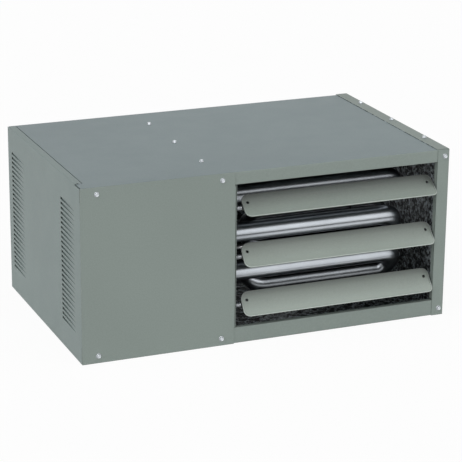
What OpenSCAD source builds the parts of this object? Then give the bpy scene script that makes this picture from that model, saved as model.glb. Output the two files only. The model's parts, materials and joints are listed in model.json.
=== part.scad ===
/* [Casing] */
// Width of the casing
casing_w = 684; // [660:1:740]
// Depth of the casing, front face to back face
casing_d = 419; // [410:1:470]
// Height of the casing
casing_h = 311; // [305:1:350]
// Thickness of the painted casing sheet
sheet_t = 1; // [0.8:0.1:1.2]
// Inside radius of the folds in the casing sheet
fold_r = 1; // [0.6:0.1:1.4]
// Width of the plain front panel over the controls
front_panel_w = 277.5; // [272:0.5:290]
// Height of the rail above the air outlet
rail_top_h = 23; // [20:1:28]
// Height of the rail below the air outlet
rail_bottom_h = 29; // [25:1:34]
// Depth of the lip folded back from each rail
rail_lip = 9; // [7:1:12]
// Width of the right panel's flange beside the air outlet
right_front_flange = 23; // [20:1:28]
// Width of the right panel's flange on top
right_top_flange = 24; // [20:1:30]
// Width of the left panel's flange on top
left_top_flange = 12; // [10:0.1:18]
// Width of the groove between the left panel's top flange and the top panel
top_groove = 2.4; // [1.6:0.1:3]
// Length of the front corner where the left top flange is cut away
left_flange_cut = 28; // [20:1:36]
// Length of the back corner where the left top flange is cut away
left_flange_end = 9; // [6:1:14]
// Height of the hidden flanges that join the sheets
joint_flange = 14; // [12:1:18]
// Distance from the front panel's right edge back to the partition
partition_inset = 39.5; // [36:0.5:44]
// Room left beside the front panel's right edge for the louver rail
rail_room = 11.5; // [10.5:0.5:14]

/* [Side vents] */
// Length of one pressed vent
vent_len = 76; // [66:1:80]
// Height of one pressed vent
vent_h = 4.6; // [3.6:0.1:5.2]
// Depth that a vent is pressed in at its open end
vent_depth = 3; // [2.4:0.1:4]
// Height from one vent to the next
vent_pitch = 8.6; // [8:0.1:9]
// Number of vents in each band
vent_rows = 26; // [10:1:27]
// Height of the middle of both bands above the middle of the casing
vent_rise = 1.8; // [-4:0.1:6]
// Distance from the front face to the front band
vent_front_y = 31; // [26:1:40]
// Distance from the back face to the back band
vent_back_y = 21; // [18:1:40]

/* [Louvers] */
// Number of louver blades
louver_count = 3; // [2:1:3]
// Height from one louver to the next
louver_pitch = 88; // [84:0.1:94]
// Width of a blade's section, edge to edge
louver_chord = 46; // [40:1:48]
// Depth of the curve across a blade
louver_sag = 3.5; // [2.5:0.1:4]
// Thickness of the blade sheet
louver_t = 1; // [0.8:0.1:1.2]
// Slope of the upper blade below level, in degrees
louver_tilt_high = 38; // [32:1:46]
// Slope of the middle blade below level, in degrees
louver_tilt_mid = 48; // [40:1:54]
// Slope of the lower blade below level, in degrees
louver_tilt_low = 53; // [44:1:58]
// Gap between the front panel's edge and the blades
louver_gap_left = 14.5; // [12:0.5:18]
// Gap between the right flange and the blades
louver_gap_right = 3; // [3:0.5:7]
// Radius of a blade's lower corners
louver_corner_r = 11; // [5:0.5:14]
// Radius of a blade's upper corners
louver_upper_r = 14; // [3:0.5:14]
// Distance of the pivots behind the front face
pivot_y = 10.7; // [9.5:0.1:12]
// Radius of a pivot pin
pivot_r = 2.5; // [2:0.1:3]
// Width of the rail that carries the pivots
louver_rail_w = 27; // [22:1:32]

/* [Heat exchanger] */
// Number of serpentine tubes
tube_count = 3; // [2:1:3]
// Outside diameter of a tube
tube_d = 34.9; // [31:0.1:36]
// Wall of a tube
tube_wall = 1.1; // [0.9:0.1:1.6]
// Height from one tube to the next
tube_pitch = 71; // [68:0.5:73]
// Height of the middle tube above the middle of the casing
tube_rise = 26.5; // [18:0.5:28]
// Distance of the front row of tubes behind the front face
tube_front_y = 60; // [56:1:70]
// Step back from one row of tubes to the next
tube_back = 30; // [28:0.5:32]
// Step down from one row of tubes to the next
tube_down = 40; // [39:0.5:42]
// Distance from the partition to where the tubes' right bends start
tube_run = 347.5; // [320:0.5:350]
// Distance from the partition to where the tubes' left bends start
tube_return = 130.5; // [100:0.5:150]
// Thickness of the header plate
header_t = 2; // [1.5:0.1:3]

/* [Burners] */
// Length of a burner
burner_len = 144; // [130:1:150]
// Outside radius of a burner's flame head
burner_head_r = 15; // [13:0.5:16]
// Outside radius of a burner's throat
burner_throat_r = 8.5; // [7.5:0.5:10]
// Outside radius of a burner's air inlet
burner_inlet_r = 13; // [12:0.5:14.5]
// Gap between a burner's head and its tube
burner_gap = 9; // [6:1:14]
// Length of the gas pipe from the manifold to the gas valve
manifold_run = 65; // [62:1:75]
// Distance of the gas manifold from the left wall
manifold_x = 48; // [46:1:52]
// Outside radius of the gas pipes
pipe_r = 10.67; // [10:0.01:11.5]
// Inside radius of the gas pipes
pipe_bore_r = 7.9; // [7:0.1:8.5]
// Height of the lowest burner above the gas valve and the gas pipe
gas_drop = 49; // [45:1:52]
// Length of the gas valve body along the pipe
valve_l = 80; // [70:1:90]
// Width of the gas valve body
valve_w = 58; // [50:1:64]
// Height of the gas valve body
valve_h = 52; // [44:1:58]
// Length of the gas pipe outside the back panel
gas_stub = 34; // [28:1:45]

/* [Vent] */
// Radius of the draft inducer's housing
inducer_r = 58; // [52:1:60]
// Width of the draft inducer's housing
inducer_w = 44; // [38:1:48]
// Radius of the draft inducer's wheel
inducer_wheel_r = 44; // [38:1:46]
// Radius of the draft inducer's motor
inducer_motor_r = 35; // [30:1:38]
// Length of the draft inducer's motor
inducer_motor_l = 52; // [44:1:56]
// Depth of the flue collector box
collector_depth = 50; // [44:1:54]
// Outside radius of the vent collar
collar_r = 50.8; // [46:0.1:52]
// Gap between the vent collar and the partition
collar_inset = 37; // [32:1:42]
// Length of the vent collar inside the back panel
collar_inside = 60; // [50:1:70]
// Length of the vent collar outside the back panel
collar_l = 40; // [30:1:60]

/* [Fan] */
// Radius of the opening for the fan
orifice_r = 126; // [118:1:128]
// Radius of the fan at its blade tips
fan_r = 120; // [110:1:121]
// Number of fan blades
fan_blades = 4; // [3:1:6]
// Drop of the fan below the middle of the casing
fan_drop = 5.5; // [0:0.5:8]
// Slope of the fan blades, in degrees
fan_pitch = 27; // [20:1:32]
// Radius of the fan motor
motor_r = 42; // [38:1:46]
// Length of the fan motor
motor_l = 58; // [50:1:64]
// Depth of the wire guard behind the back panel
guard_depth = 70; // [68:1:80]
// Radius of the wire guard
guard_r = 140; // [138:1:143]
// Radius of the guard's wire
wire_r = 1.7; // [1.4:0.1:2.2]

/* [Controls] */
// Length of the ignition control board
board_l = 130; // [110:1:140]
// Height of the ignition control board
board_h = 88; // [76:1:96]
// Length of the transformer
transformer_l = 62; // [54:1:70]
// Width of the transformer
transformer_w = 52; // [46:1:58]
// Height of the transformer
transformer_h = 48; // [42:1:54]
// Radius of the pressure switch
switch_r = 31; // [28:1:33]
// Radius of the knockout hole for the wiring
knockout_r = 11.1; // [10:0.1:11.5]
// Distance of the knockout hole from the partition
knockout_inset = 24; // [20:1:26]
// Distance of the knockout hole from the top
knockout_drop = 40; // [36:1:46]

/* [Fasteners] */
// Radius of a screw's washer face
screw_washer_r = 4.4; // [4:0.1:5]
// Radius of a screw's hex head, corner to corner
screw_hex_r = 3.7; // [3.2:0.1:4]
// Height of a screw's head
screw_head_h = 3.6; // [3:0.1:4.5]
// Radius of a screw's shank
screw_r = 1.9; // [1.7:0.1:2.2]
// Length of a screw's shank
screw_len = 10; // [8:1:12]
// Distance of the front screws from the top and bottom edges
screw_edge = 13; // [11:0.5:15]
// Distance of the right flange's screws from the right wall
screw_right = 9.3; // [8:0.1:11]
// Distance of the front panel's left screws from its left edge
screw_left = 28.6; // [24:0.1:34]
// Distance from one top screw to the next
screw_pitch = 130.5; // [120:0.5:140]

/* [Hidden] */
$fn = 48;

// Finishes, as seen on the object
paint = [0.53, 0.57, 0.545];
paint_top = [0.5, 0.54, 0.545];
bare_steel = [0.62, 0.64, 0.65];
galvanised = [0.45, 0.47, 0.48];
dark_steel = [0.2, 0.21, 0.22];
brass_tone = [0.72, 0.58, 0.3];
board_green = [0.12, 0.35, 0.2];
black_plastic = [0.12, 0.12, 0.13];
ceramic_white = [0.88, 0.87, 0.83];
hose_grey = [0.35, 0.35, 0.36];

// Length by which a cut runs past the material
overrun = 1;
// Gap left between neighbours that only lie close
seat = 0.3;
// Radial gap between a turning pin and its hole
run_fit = 0.05;
// Radial gap round a part that passes through a hole
hole_fit = 0.2;
fold_out = fold_r + sheet_t;
partition_x = front_panel_w - partition_inset;
casing_inner_top = casing_h - 2 * sheet_t;
chamber_mid_x = (partition_x + casing_w) / 2;
screw_head_share = 0.22;

// Places in the casing are counted from its lower front left corner; the origin is under its middle
module from_corner() {
    translate([-casing_w / 2, -casing_d / 2, 0]) children();
}

// Turns an upright shape so that its +Z points along +X
module along_x() {
    rotate([0, 90, 0]) children();
}

// Turns an upright shape so that its +Z points along +Y
module along_y() {
    rotate([-90, 0, 0]) children();
}

// Section of a fold: outer corner at the origin, joining a sheet along +X to a leg along +Y
module fold_section(leg) {
    intersection() {
        translate([fold_out, fold_out]) difference() {
            circle(fold_out);
            circle(fold_r);
        }
        square(fold_out);
    }
    translate([0, fold_out]) square([sheet_t, leg - fold_out]);
}

// Fold along +Y beside a sheet whose outer face lies on z = 0
module fold_strip(length, leg) {
    translate([0, length, 0]) rotate([90, 0, 0]) linear_extrude(length) fold_section(leg);
}

// Sheet with its outer face down. A side's fold is [leg, gap at its start, gap at its end]
module folded_sheet(w, h, left = [], right = [], front = [], back = []) {
    x0 = len(left) > 0 ? fold_out : 0;
    x1 = len(right) > 0 ? w - fold_out : w;
    y0 = len(front) > 0 ? fold_out : 0;
    y1 = len(back) > 0 ? h - fold_out : h;
    translate([x0, y0, 0]) cube([x1 - x0, y1 - y0, sheet_t]);
    if (len(left) > 0) {
        translate([0, left[1], 0]) fold_strip(h - left[1] - left[2], left[0]);
    }
    if (len(right) > 0) {
        translate([w, right[1], 0]) mirror([1, 0, 0]) fold_strip(h - right[1] - right[2], right[0]);
    }
    if (len(front) > 0) {
        translate([front[1], 0, 0]) mirror([1, -1, 0]) fold_strip(w - front[1] - front[2], front[0]);
    }
    if (len(back) > 0) {
        translate([back[1], h, 0]) mirror([0, 1, 0]) mirror([1, -1, 0])
            fold_strip(w - back[1] - back[2], back[0]);
    }
}

// Hollow straight pipe along +Z
module pipe(length, outer, inner) {
    difference() {
        cylinder(h = length, r = outer);
        translate([0, 0, -overrun]) cylinder(h = length + 2 * overrun, r = inner);
    }
}

// Hex washer screw with its seat on z = 0 and its shank down
module hex_screw() {
    cylinder(h = screw_head_h * screw_head_share, r = screw_washer_r);
    cylinder(h = screw_head_h, r = screw_hex_r, $fn = 6);
    translate([0, 0, -screw_len]) cylinder(h = screw_len, r = screw_r);
}

// Hole for a screw, through the sheets under its seat
module screw_hole() {
    translate([0, 0, -screw_len - overrun])
        cylinder(h = screw_len + 2 * overrun, r = screw_r + hole_fit);
}

// Places of the screws, as [x, z] on the front and back, or [x, y] on top
screw_z_low = screw_edge;
screw_z_high = casing_h - screw_edge;
front_screw_x = [screw_left, partition_x + (partition_inset - rail_room) / 2];
front_screws = [for (x = front_screw_x) for (z = [screw_z_low, screw_z_high]) [x, z]];
flange_screws = [for (z = [screw_z_low, screw_z_high]) [casing_w - screw_right, z]];
top_screw_y = [for (i = [-1:1]) casing_d / 2 + i * screw_pitch];
right_top = [for (y = top_screw_y) [casing_w - screw_right, y]];
partition_top = [for (y = top_screw_y) [partition_x + joint_flange / 2, y]];
back_screw_inset = joint_flange / 2 + sheet_t;
back_screw_x = [screw_left, partition_x - screw_left, casing_w - screw_left];
back_screws = [for (x = back_screw_x) for (z = [back_screw_inset, casing_h - back_screw_inset]) [x, z]];

module at_front(places) {
    for (p = places) translate([p[0], 0, p[1]]) rotate([90, 0, 0]) children();
}

module at_back(places) {
    for (p = places) translate([p[0], casing_d, p[1]]) rotate([-90, 0, 0]) children();
}

module at_top(places) {
    for (p = places) translate([p[0], p[1], casing_h]) children();
}

// Casing sheets

// Length of the rails' folded lips, from the partition's flange to the right panel
lip_x0 = front_panel_w - rail_room + sheet_t;
lip_x1 = casing_w - fold_out - sheet_t;

module rail_lip_strip(z) {
    translate([lip_x0, sheet_t, z]) cube([lip_x1 - lip_x0, rail_lip, sheet_t]);
}

// Groove pressed into the top panel beside the left panel's flange
module seam_groove(wall) {
    y0 = left_flange_cut + sheet_t;
    translate([left_top_flange - wall, y0 - wall, casing_h - 2 * sheet_t - wall])
        cube([top_groove + 2 * wall, casing_d - left_flange_end - y0 + 2 * wall, sheet_t + overrun]);
}

module top_panel() {
    color(paint_top) from_corner() difference() {
        union() {
            seam_groove(sheet_t);
            translate([fold_out, sheet_t, casing_h - sheet_t]) mirror([0, 0, 1])
                folded_sheet(casing_w - 2 * fold_out, casing_d - 2 * sheet_t,
                    front = [rail_top_h - sheet_t, 0, 0], back = [joint_flange, 0, 0]);
            rail_lip_strip(casing_h - rail_top_h);
        }
        seam_groove(0);
        at_front(concat(front_screws, flange_screws)) screw_hole();
        at_back(back_screws) screw_hole();
        at_top(concat(right_top, partition_top)) screw_hole();
    }
}

module bottom_panel() {
    color(paint) from_corner() difference() {
        union() {
            translate([sheet_t, sheet_t, 0])
                folded_sheet(casing_w - 2 * sheet_t, casing_d - 2 * sheet_t,
                    left = [joint_flange, fold_out, fold_out],
                    right = [joint_flange, fold_out, fold_out],
                    front = [rail_bottom_h, fold_out, fold_out],
                    back = [joint_flange, fold_out, fold_out]);
            rail_lip_strip(rail_bottom_h - sheet_t);
        }
        at_front(concat(front_screws, flange_screws)) screw_hole();
        at_back(back_screws) screw_hole();
    }
}

module right_side_panel() {
    color(paint) from_corner() difference() {
        translate([casing_w, 0, 0]) mirror([1, 0, 0]) rotate([90, 0, 90])
            folded_sheet(casing_d, casing_h, left = [right_front_flange, 0, fold_out],
                back = [right_top_flange, fold_out, 0]);
        at_front(flange_screws) screw_hole();
        at_top(right_top) screw_hole();
    }
}

// One vent: a ramp pressed in from the front, open at its back end
module vent_ramp() {
    translate([0, 0, -vent_h / 2 - sheet_t]) linear_extrude(vent_h + 2 * sheet_t)
        polygon([[0, 0], [sheet_t, 0], [sheet_t + vent_depth, vent_len], [0, vent_len]]);
}

module vent_cut() {
    translate([0, 0, -vent_h / 2]) linear_extrude(vent_h)
        polygon([[-overrun, 0], [0, 0], [vent_depth, vent_len], [vent_depth, vent_len + overrun],
            [sheet_t, vent_len + overrun], [sheet_t, vent_len], [-overrun, vent_len]]);
}

module at_vents() {
    for (y = [vent_front_y, casing_d - vent_back_y - vent_len]) {
        for (i = [0:vent_rows - 1]) {
            translate([0, y, casing_h / 2 + vent_rise + (i - (vent_rows - 1) / 2) * vent_pitch]) children();
        }
    }
}

module left_access_panel() {
    color(paint) from_corner() difference() {
        union() {
            translate([0, sheet_t, 0]) rotate([90, 0, 90])
                folded_sheet(casing_d - sheet_t, casing_h,
                    left = [joint_flange, rail_bottom_h + fold_out, rail_top_h + fold_out],
                    back = [left_top_flange, left_flange_cut, left_flange_end]);
            at_vents() vent_ramp();
        }
        at_vents() vent_cut();
    }
}

module front_left_panel() {
    color(paint) from_corner() difference() {
        mirror([0, 1, 0]) rotate([90, 0, 0])
            folded_sheet(front_panel_w, casing_h - sheet_t,
                right = [joint_flange - sheet_t, rail_bottom_h + fold_out, rail_top_h + fold_out]);
        at_front(front_screws) screw_hole();
    }
}

// Rolled edge round the fan's opening
bell_r = 8;
orifice_lip = 14;
fan_z = casing_h / 2 - fan_drop;

// Places of the pipes in the control compartment, worked out from the tubes further down
tube_r = tube_d / 2;
tube_mid_z = casing_h / 2 + tube_rise;
tube_back_y = tube_front_y + 3 * tube_back;
tube_top_z = tube_mid_z + (tube_count - 1) / 2 * tube_pitch;
burner_low_z = tube_top_z - (tube_count - 1) * tube_pitch;
tube_low_z = burner_low_z - tube_down;
gas_z = burner_low_z - gas_drop;
inducer_z = (tube_top_z + tube_low_z - tube_down) / 2;
collar_x = partition_x - collar_r - collar_inset;
collar_z = inducer_z + inducer_r;
knockout_x = partition_x - knockout_inset;
knockout_z = casing_h - knockout_drop;

module bell_mouth() {
    rotate_extrude() translate([orifice_r, 0]) {
        intersection() {
            translate([bell_r, bell_r]) difference() {
                circle(bell_r);
                circle(bell_r - sheet_t);
            }
            square(bell_r);
        }
        translate([0, bell_r]) square([sheet_t, orifice_lip - bell_r]);
    }
}

guard_foot_angles = [for (i = [0:3]) 45 + i * 90];
// The guard's rings are welded across its wires, set off from them by this share of the wire's radius
weld_share = 0.7;
guard_weld = weld_share * wire_r;
guard_foot_r = guard_r + guard_weld + wire_r + screw_washer_r + seat;

module at_guard_feet() {
    for (a = guard_foot_angles) {
        translate([chamber_mid_x + guard_foot_r * cos(a), casing_d, fan_z + guard_foot_r * sin(a)])
            rotate([-90, 0, 0]) children();
    }
}

module back_panel() {
    color(paint) from_corner() difference() {
        union() {
            difference() {
                translate([fold_out, casing_d - sheet_t, fold_out])
                    cube([casing_w - 2 * fold_out, sheet_t, casing_h - sheet_t - 2 * fold_out]);
                translate([chamber_mid_x, casing_d + overrun, fan_z]) rotate([90, 0, 0])
                    cylinder(h = 3 * sheet_t + overrun, r = orifice_r + bell_r);
            }
            translate([chamber_mid_x, casing_d, fan_z]) rotate([90, 0, 0]) bell_mouth();
        }
        at_back([[collar_x, collar_z]]) pierce(collar_r + hole_fit);
        at_back([[manifold_x, gas_z]]) pierce(pipe_r + hole_fit);
        at_back([[knockout_x, knockout_z]]) pierce(knockout_r);
        at_back(back_screws) screw_hole();
        at_guard_feet() screw_hole();
    }
}

// Round hole through a sheet under z = 0
module pierce(r) {
    translate([0, 0, -sheet_t - overrun]) cylinder(h = sheet_t + 2 * overrun, r = r);
}

// Heat exchanger

header_margin = 11;
header_y0 = tube_front_y - tube_r - header_margin;
header_y1 = tube_back_y + tube_r + header_margin;
header_z0 = tube_low_z - tube_r - header_margin;
header_z1 = tube_top_z + tube_r + header_margin;
header_overlap = 8;
bend_r = norm([tube_back, tube_down]) / 2;
bend_slope = atan2(tube_down, tube_back);
tube_right_x = partition_x + tube_run;
tube_left_x = partition_x + tube_return;
tube_stub = 5;
tube_end_x = partition_x - header_t - tube_stub;
limit_gap = 60;
limit_rise = 100;
limit_y = header_y1 + limit_gap;
limit_z = fan_z + limit_rise;
limit_hole_r = 9;

module partition() {
    color(galvanised) from_corner() difference() {
        translate([partition_x, 2 * sheet_t, sheet_t]) rotate([90, 0, 90])
            folded_sheet(casing_d - 4 * sheet_t, casing_inner_top - sheet_t,
                left = [partition_inset - rail_room, fold_out, fold_out],
                right = [joint_flange, fold_out, fold_out],
                front = [joint_flange, fold_out, fold_out],
                back = [joint_flange, fold_out, fold_out]);
        translate([partition_x - overrun, header_y0 + header_overlap, header_z0 + header_overlap])
            cube([sheet_t + 2 * overrun, header_y1 - header_y0 - 2 * header_overlap,
                header_z1 - header_z0 - 2 * header_overlap]);
        translate([partition_x - overrun, limit_y, limit_z]) along_x()
            cylinder(h = sheet_t + 2 * overrun, r = limit_hole_r);
        at_front(front_screws) screw_hole();
        at_top(partition_top) screw_hole();
    }
}

// The rows of one tube, as [steps back, steps down]
function tube_row(i) = [tube_front_y + i * tube_back, (i % 2) * tube_down];

function tube_z(i) = tube_top_z - i * tube_pitch;

module tube_pass(i, x0, x1, r) {
    row = tube_row(i);
    translate([x0, row[0], -row[1]]) along_x() cylinder(h = x1 - x0, r = r);
}

// Half turn between row i and the next one, bulging towards the given side
module tube_bend(i, x, side, r) {
    row = tube_row(i);
    next = tube_row(i + 1);
    slope = next[1] > row[1] ? bend_slope : -bend_slope;
    translate([x, (row[0] + next[0]) / 2, -(row[1] + next[1]) / 2])
        rotate([-slope, 0, 0]) rotate([0, 0, side > 0 ? -90 : 90])
            rotate_extrude(angle = 180) translate([bend_r, 0]) circle(r);
}

// Four passes and three bends as one bar of the given radius
module tube_bar(r) {
    tube_pass(0, tube_end_x, tube_right_x, r);
    tube_bend(0, tube_right_x, 1, r);
    tube_pass(1, tube_left_x, tube_right_x, r);
    tube_bend(1, tube_left_x, -1, r);
    tube_pass(2, tube_left_x, tube_right_x, r);
    tube_bend(2, tube_right_x, 1, r);
    tube_pass(3, tube_end_x, tube_right_x, r);
}

module heat_tube(i) {
    color(bare_steel) from_corner() translate([0, 0, tube_z(i)]) difference() {
        tube_bar(tube_r);
        tube_bar(tube_r - tube_wall);
    }
}

module header_plate() {
    color(bare_steel) from_corner() difference() {
        translate([partition_x - header_t, header_y0, header_z0])
            cube([header_t, header_y1 - header_y0, header_z1 - header_z0]);
        for (i = [0:tube_count - 1]) {
            for (j = [0, 3]) {
                row = tube_row(j);
                translate([partition_x - header_t - overrun, row[0], tube_z(i) - row[1]])
                    along_x() cylinder(h = header_t + 2 * overrun, r = tube_r + run_fit);
            }
        }
    }
}

support_inset = 42;
support_x = tube_right_x - support_inset;
support_margin = 4;

// Plate that holds the back rows and clears the row in front of them
module tube_support() {
    y0 = tube_row(2)[0] - tube_r - support_margin;
    y1 = tube_back_y + tube_r + support_margin;
    z1 = tube_top_z + tube_r + support_margin;
    color(galvanised) from_corner() difference() {
        translate([support_x, y0, sheet_t]) rotate([90, 0, 90])
            folded_sheet(y1 - y0, z1 - sheet_t, front = [joint_flange, 0, 0]);
        for (i = [0:tube_count - 1]) {
            for (j = [2, 3]) {
                row = tube_row(j);
                translate([support_x - overrun, row[0], tube_z(i) - row[1]])
                    along_x() cylinder(h = sheet_t + 2 * overrun, r = tube_r + run_fit);
            }
            translate([support_x - overrun, tube_row(1)[0], tube_z(i) - tube_row(1)[1]])
                along_x() cylinder(h = sheet_t + 2 * overrun, r = tube_r + support_margin);
        }
    }
}

// Louvers

opening_mid_z = (rail_bottom_h + casing_h - rail_top_h) / 2;
louver_x0 = front_panel_w + louver_gap_left;
louver_x1 = casing_w - right_front_flange - louver_gap_right;
louver_len = louver_x1 - louver_x0;
// Pivot in the blade's own section: along the chord, and behind it
pivot_along = -3;
pivot_behind = 9;
tab_t = 1.2;
tab_r = 5.4;
louver_arc_r = (pow(louver_chord / 2, 2) + pow(louver_sag, 2)) / (2 * louver_sag);
// Small hole near each upper corner of a blade
louver_hole_r = 2.6;
louver_hole_end = 11;
louver_hole_up = -8;
// Drop of the pivots below the even spacing of the outlet
pivot_drop = 4;

function louver_z(i) = opening_mid_z + ((louver_count - 1) / 2 - i) * louver_pitch - pivot_drop;

// Section across a blade: the chord along +X, hollow side up
module louver_section() {
    intersection() {
        translate([0, louver_arc_r - louver_sag]) difference() {
            circle(louver_arc_r + louver_t, $fn = 160);
            circle(louver_arc_r, $fn = 160);
        }
        translate([-louver_chord / 2, -2 * louver_sag - louver_t])
            square([louver_chord, 3 * louver_sag + 2 * louver_t]);
    }
}

// Steps in which a blade's corners are rounded, in degrees
louver_corner_step = 15;

// Blade outline seen square to its chord: +X towards the lower edge, +Y along the blade
module louver_outline() {
    half = louver_chord / 2;
    upper = half - louver_upper_r;
    lower = half - louver_corner_r;
    quarter = [0:louver_corner_step:90];
    polygon(concat(
        [for (a = quarter) [-upper - louver_upper_r * cos(a), louver_upper_r * (1 - sin(a))]],
        [for (a = quarter) [lower + louver_corner_r * sin(a), louver_corner_r * (1 - cos(a))]],
        [for (a = quarter) [lower + louver_corner_r * cos(a),
            louver_len - louver_corner_r * (1 - sin(a))]],
        [for (a = quarter) [-upper - louver_upper_r * sin(a),
            louver_len - louver_upper_r * (1 - cos(a))]]));
}

// Turns a blade drawn on its chord, with its length up, into its place in the outlet
module at_louver(i) {
    angle = 90 + [louver_tilt_high, louver_tilt_mid, louver_tilt_low][i];
    translate([louver_x1, pivot_y, louver_z(i)]) rotate([angle, 0, 0]) rotate([0, -90, 0])
        translate([-pivot_along, pivot_behind, 0]) children();
}

module louver_tab() {
    linear_extrude(tab_t) difference() {
        union() {
            translate([pivot_along, -pivot_behind]) circle(tab_r);
            translate([pivot_along - tab_r, -pivot_behind])
                square([2 * tab_r, pivot_behind - louver_sag - louver_t / 2]);
        }
        translate([pivot_along, -pivot_behind]) circle(pivot_r + run_fit);
    }
}

module louver_blade(i) {
    color(paint) from_corner() at_louver(i) {
        difference() {
            intersection() {
                linear_extrude(louver_len) louver_section();
                translate([0, louver_chord / 2, 0]) rotate([90, 0, 0])
                    linear_extrude(louver_chord) louver_outline();
            }
            for (z = [louver_hole_end, louver_len - louver_hole_end]) {
                translate([louver_hole_up, louver_chord / 2, z]) rotate([90, 0, 0])
                    cylinder(h = louver_chord, r = louver_hole_r);
            }
        }
        louver_tab();
        translate([0, 0, louver_len - tab_t]) louver_tab();
    }
}

louver_pin_head_t = 1.2;
louver_pin_head_r = 4;
louver_pin_end = 2;
louver_rail_y = 3 * sheet_t;
louver_rail_z0 = rail_bottom_h;
louver_rail_h = casing_h - rail_top_h - rail_bottom_h;
rail_left_x = front_panel_w + seat + louver_pin_head_t + sheet_t;
rail_right_x = casing_w - right_front_flange;
foot_leg = 9;

module rail_sheet() {
    rotate([90, 0, 90]) folded_sheet(louver_rail_w, louver_rail_h,
        front = [foot_leg, 0, 0], back = [foot_leg, 0, 0]);
}

module pivot_holes(x) {
    for (i = [0:louver_count - 1]) {
        translate([x - overrun, pivot_y, louver_z(i)]) along_x()
            cylinder(h = sheet_t + 2 * overrun, r = pivot_r + run_fit);
    }
}

module louver_rail_left() {
    color(paint) from_corner() difference() {
        translate([rail_left_x, louver_rail_y, louver_rail_z0]) mirror([1, 0, 0]) rail_sheet();
        pivot_holes(rail_left_x - sheet_t);
    }
}

module louver_rail_right() {
    color(paint) from_corner() difference() {
        translate([rail_right_x, louver_rail_y, louver_rail_z0]) rail_sheet();
        pivot_holes(rail_right_x);
    }
}

module louver_pivot_pins() {
    color(bare_steel) from_corner() {
        for (i = [0:louver_count - 1]) {
            translate([rail_left_x - sheet_t, pivot_y, louver_z(i)]) along_x() {
                translate([0, 0, -louver_pin_head_t])
                    cylinder(h = louver_pin_head_t, r = louver_pin_head_r);
                cylinder(h = louver_x0 + tab_t + louver_pin_end - rail_left_x + sheet_t, r = pivot_r);
            }
            translate([rail_right_x + sheet_t, pivot_y, louver_z(i)]) rotate([0, -90, 0]) {
                translate([0, 0, -louver_pin_head_t])
                    cylinder(h = louver_pin_head_t, r = louver_pin_head_r);
                cylinder(h = rail_right_x + sheet_t - louver_x1 + tab_t + louver_pin_end,
                    r = pivot_r);
            }
        }
    }
}

// Coil spring on each left pin, pushing its blade against the right rail
spring_turns = 5;
spring_rings = 8;
spring_sides = 6;
spring_wire_r = 0.6;
spring_r = pivot_r + 2 * spring_wire_r;
spring_len = louver_x0 - rail_left_x - 2 * seat - 2 * spring_wire_r;

// Point on the wire's skin: turn angle a along the coil, angle b round the wire
function spring_point(a, b) = [
    (spring_r + spring_wire_r * cos(b)) * cos(a),
    (spring_r + spring_wire_r * cos(b)) * sin(a),
    spring_wire_r + spring_len * a / (360 * spring_turns) + spring_wire_r * sin(b)];

spring_last = spring_turns * spring_rings;
spring_points = [for (i = [0:spring_last]) [for (j = [0:spring_sides - 1])
    spring_point(i * 360 / spring_rings, -j * 360 / spring_sides)]];
// Least gap from one turn to the next, measured on the skin's points
spring_gap = min([for (i = [0:spring_last - spring_rings]) for (a = spring_points[i])
    for (b = spring_points[i + spring_rings]) norm(a - b)]);
echo(least_gap_between_spring_turns = spring_gap);

module coil_spring() {
    n = spring_sides;
    quads = [for (i = [0:spring_last - 1]) for (j = [0:n - 1]) [i * n + j, i * n + (j + 1) % n,
        (i + 1) * n + (j + 1) % n, (i + 1) * n + j]];
    sides = [for (q = quads) for (t = [[q[0], q[1], q[2]], [q[0], q[2], q[3]]]) t];
    start = [for (j = [n - 1:-1:0]) j];
    end = [for (j = [0:n - 1]) spring_last * n + j];
    polyhedron([for (ring = spring_points) for (q = ring) q], concat(sides, [start, end]));
}

module louver_springs() {
    color(bare_steel) from_corner() for (i = [0:louver_count - 1]) {
        translate([rail_left_x + seat, pivot_y, louver_z(i)]) along_x() coil_spring();
    }
}

// Burners and gas train

burner_x1 = tube_end_x - burner_gap;
burner_x0 = burner_x1 - burner_len;
burner_wall = 1;
// Shares of a burner's length where its section changes
burner_shares = [0, 0.06, 0.24, 0.5, 0.76, 1];
head_ring_t = 2;
port_r = 2.6;
port_ring_share = 0.6;

function burner_radius(i) = [burner_inlet_r, burner_inlet_r, burner_throat_r, burner_throat_r,
    burner_head_r, burner_head_r][i];

module burner(i) {
    n = len(burner_shares) - 1;
    outer = [for (k = [0:n]) [burner_radius(k), burner_shares[k] * burner_len]];
    inner = [for (k = [n:-1:0]) [burner_radius(k) - burner_wall, burner_shares[k] * burner_len]];
    color(bare_steel) from_corner() translate([burner_x0, tube_front_y, tube_z(i)]) along_x() {
        rotate_extrude() polygon(concat(outer, inner));
        translate([0, 0, burner_len - 2 * head_ring_t]) difference() {
            cylinder(h = head_ring_t, r = burner_head_r - burner_wall / 2);
            for (a = [0:60:300]) rotate(a) translate([burner_head_r * port_ring_share, 0, -overrun])
                cylinder(h = head_ring_t + 2 * overrun, r = port_r);
        }
    }
}

bracket_t = 1;
bracket_margin = 14;
bracket_half = burner_head_r + bracket_margin;
bracket_y0 = tube_front_y - bracket_half;
bracket_back_y = tube_front_y + bracket_half;
bracket_z0 = tube_z(tube_count - 1) - bracket_half;
bracket_z1 = tube_top_z + bracket_half;
bracket_head_inset = 26;
bracket_head_x = burner_x1 - bracket_head_inset;
bracket_inlet_x = burner_x0 + burner_len * burner_shares[1] - 3 * bracket_t;
sensor_r = 3;
sensor_gap = 4;
sensor_y = tube_front_y - burner_head_r - sensor_r - sensor_gap;
rollout_r = 8;
rollout_off = burner_head_r + sensor_r;
rollout_z = tube_top_z + rollout_off;
rollout_y = tube_front_y + rollout_off;

module bracket_plate(x) {
    translate([x, bracket_y0, bracket_z0])
        cube([bracket_t, bracket_back_y - bracket_y0 + bracket_t, bracket_z1 - bracket_z0]);
}

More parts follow.
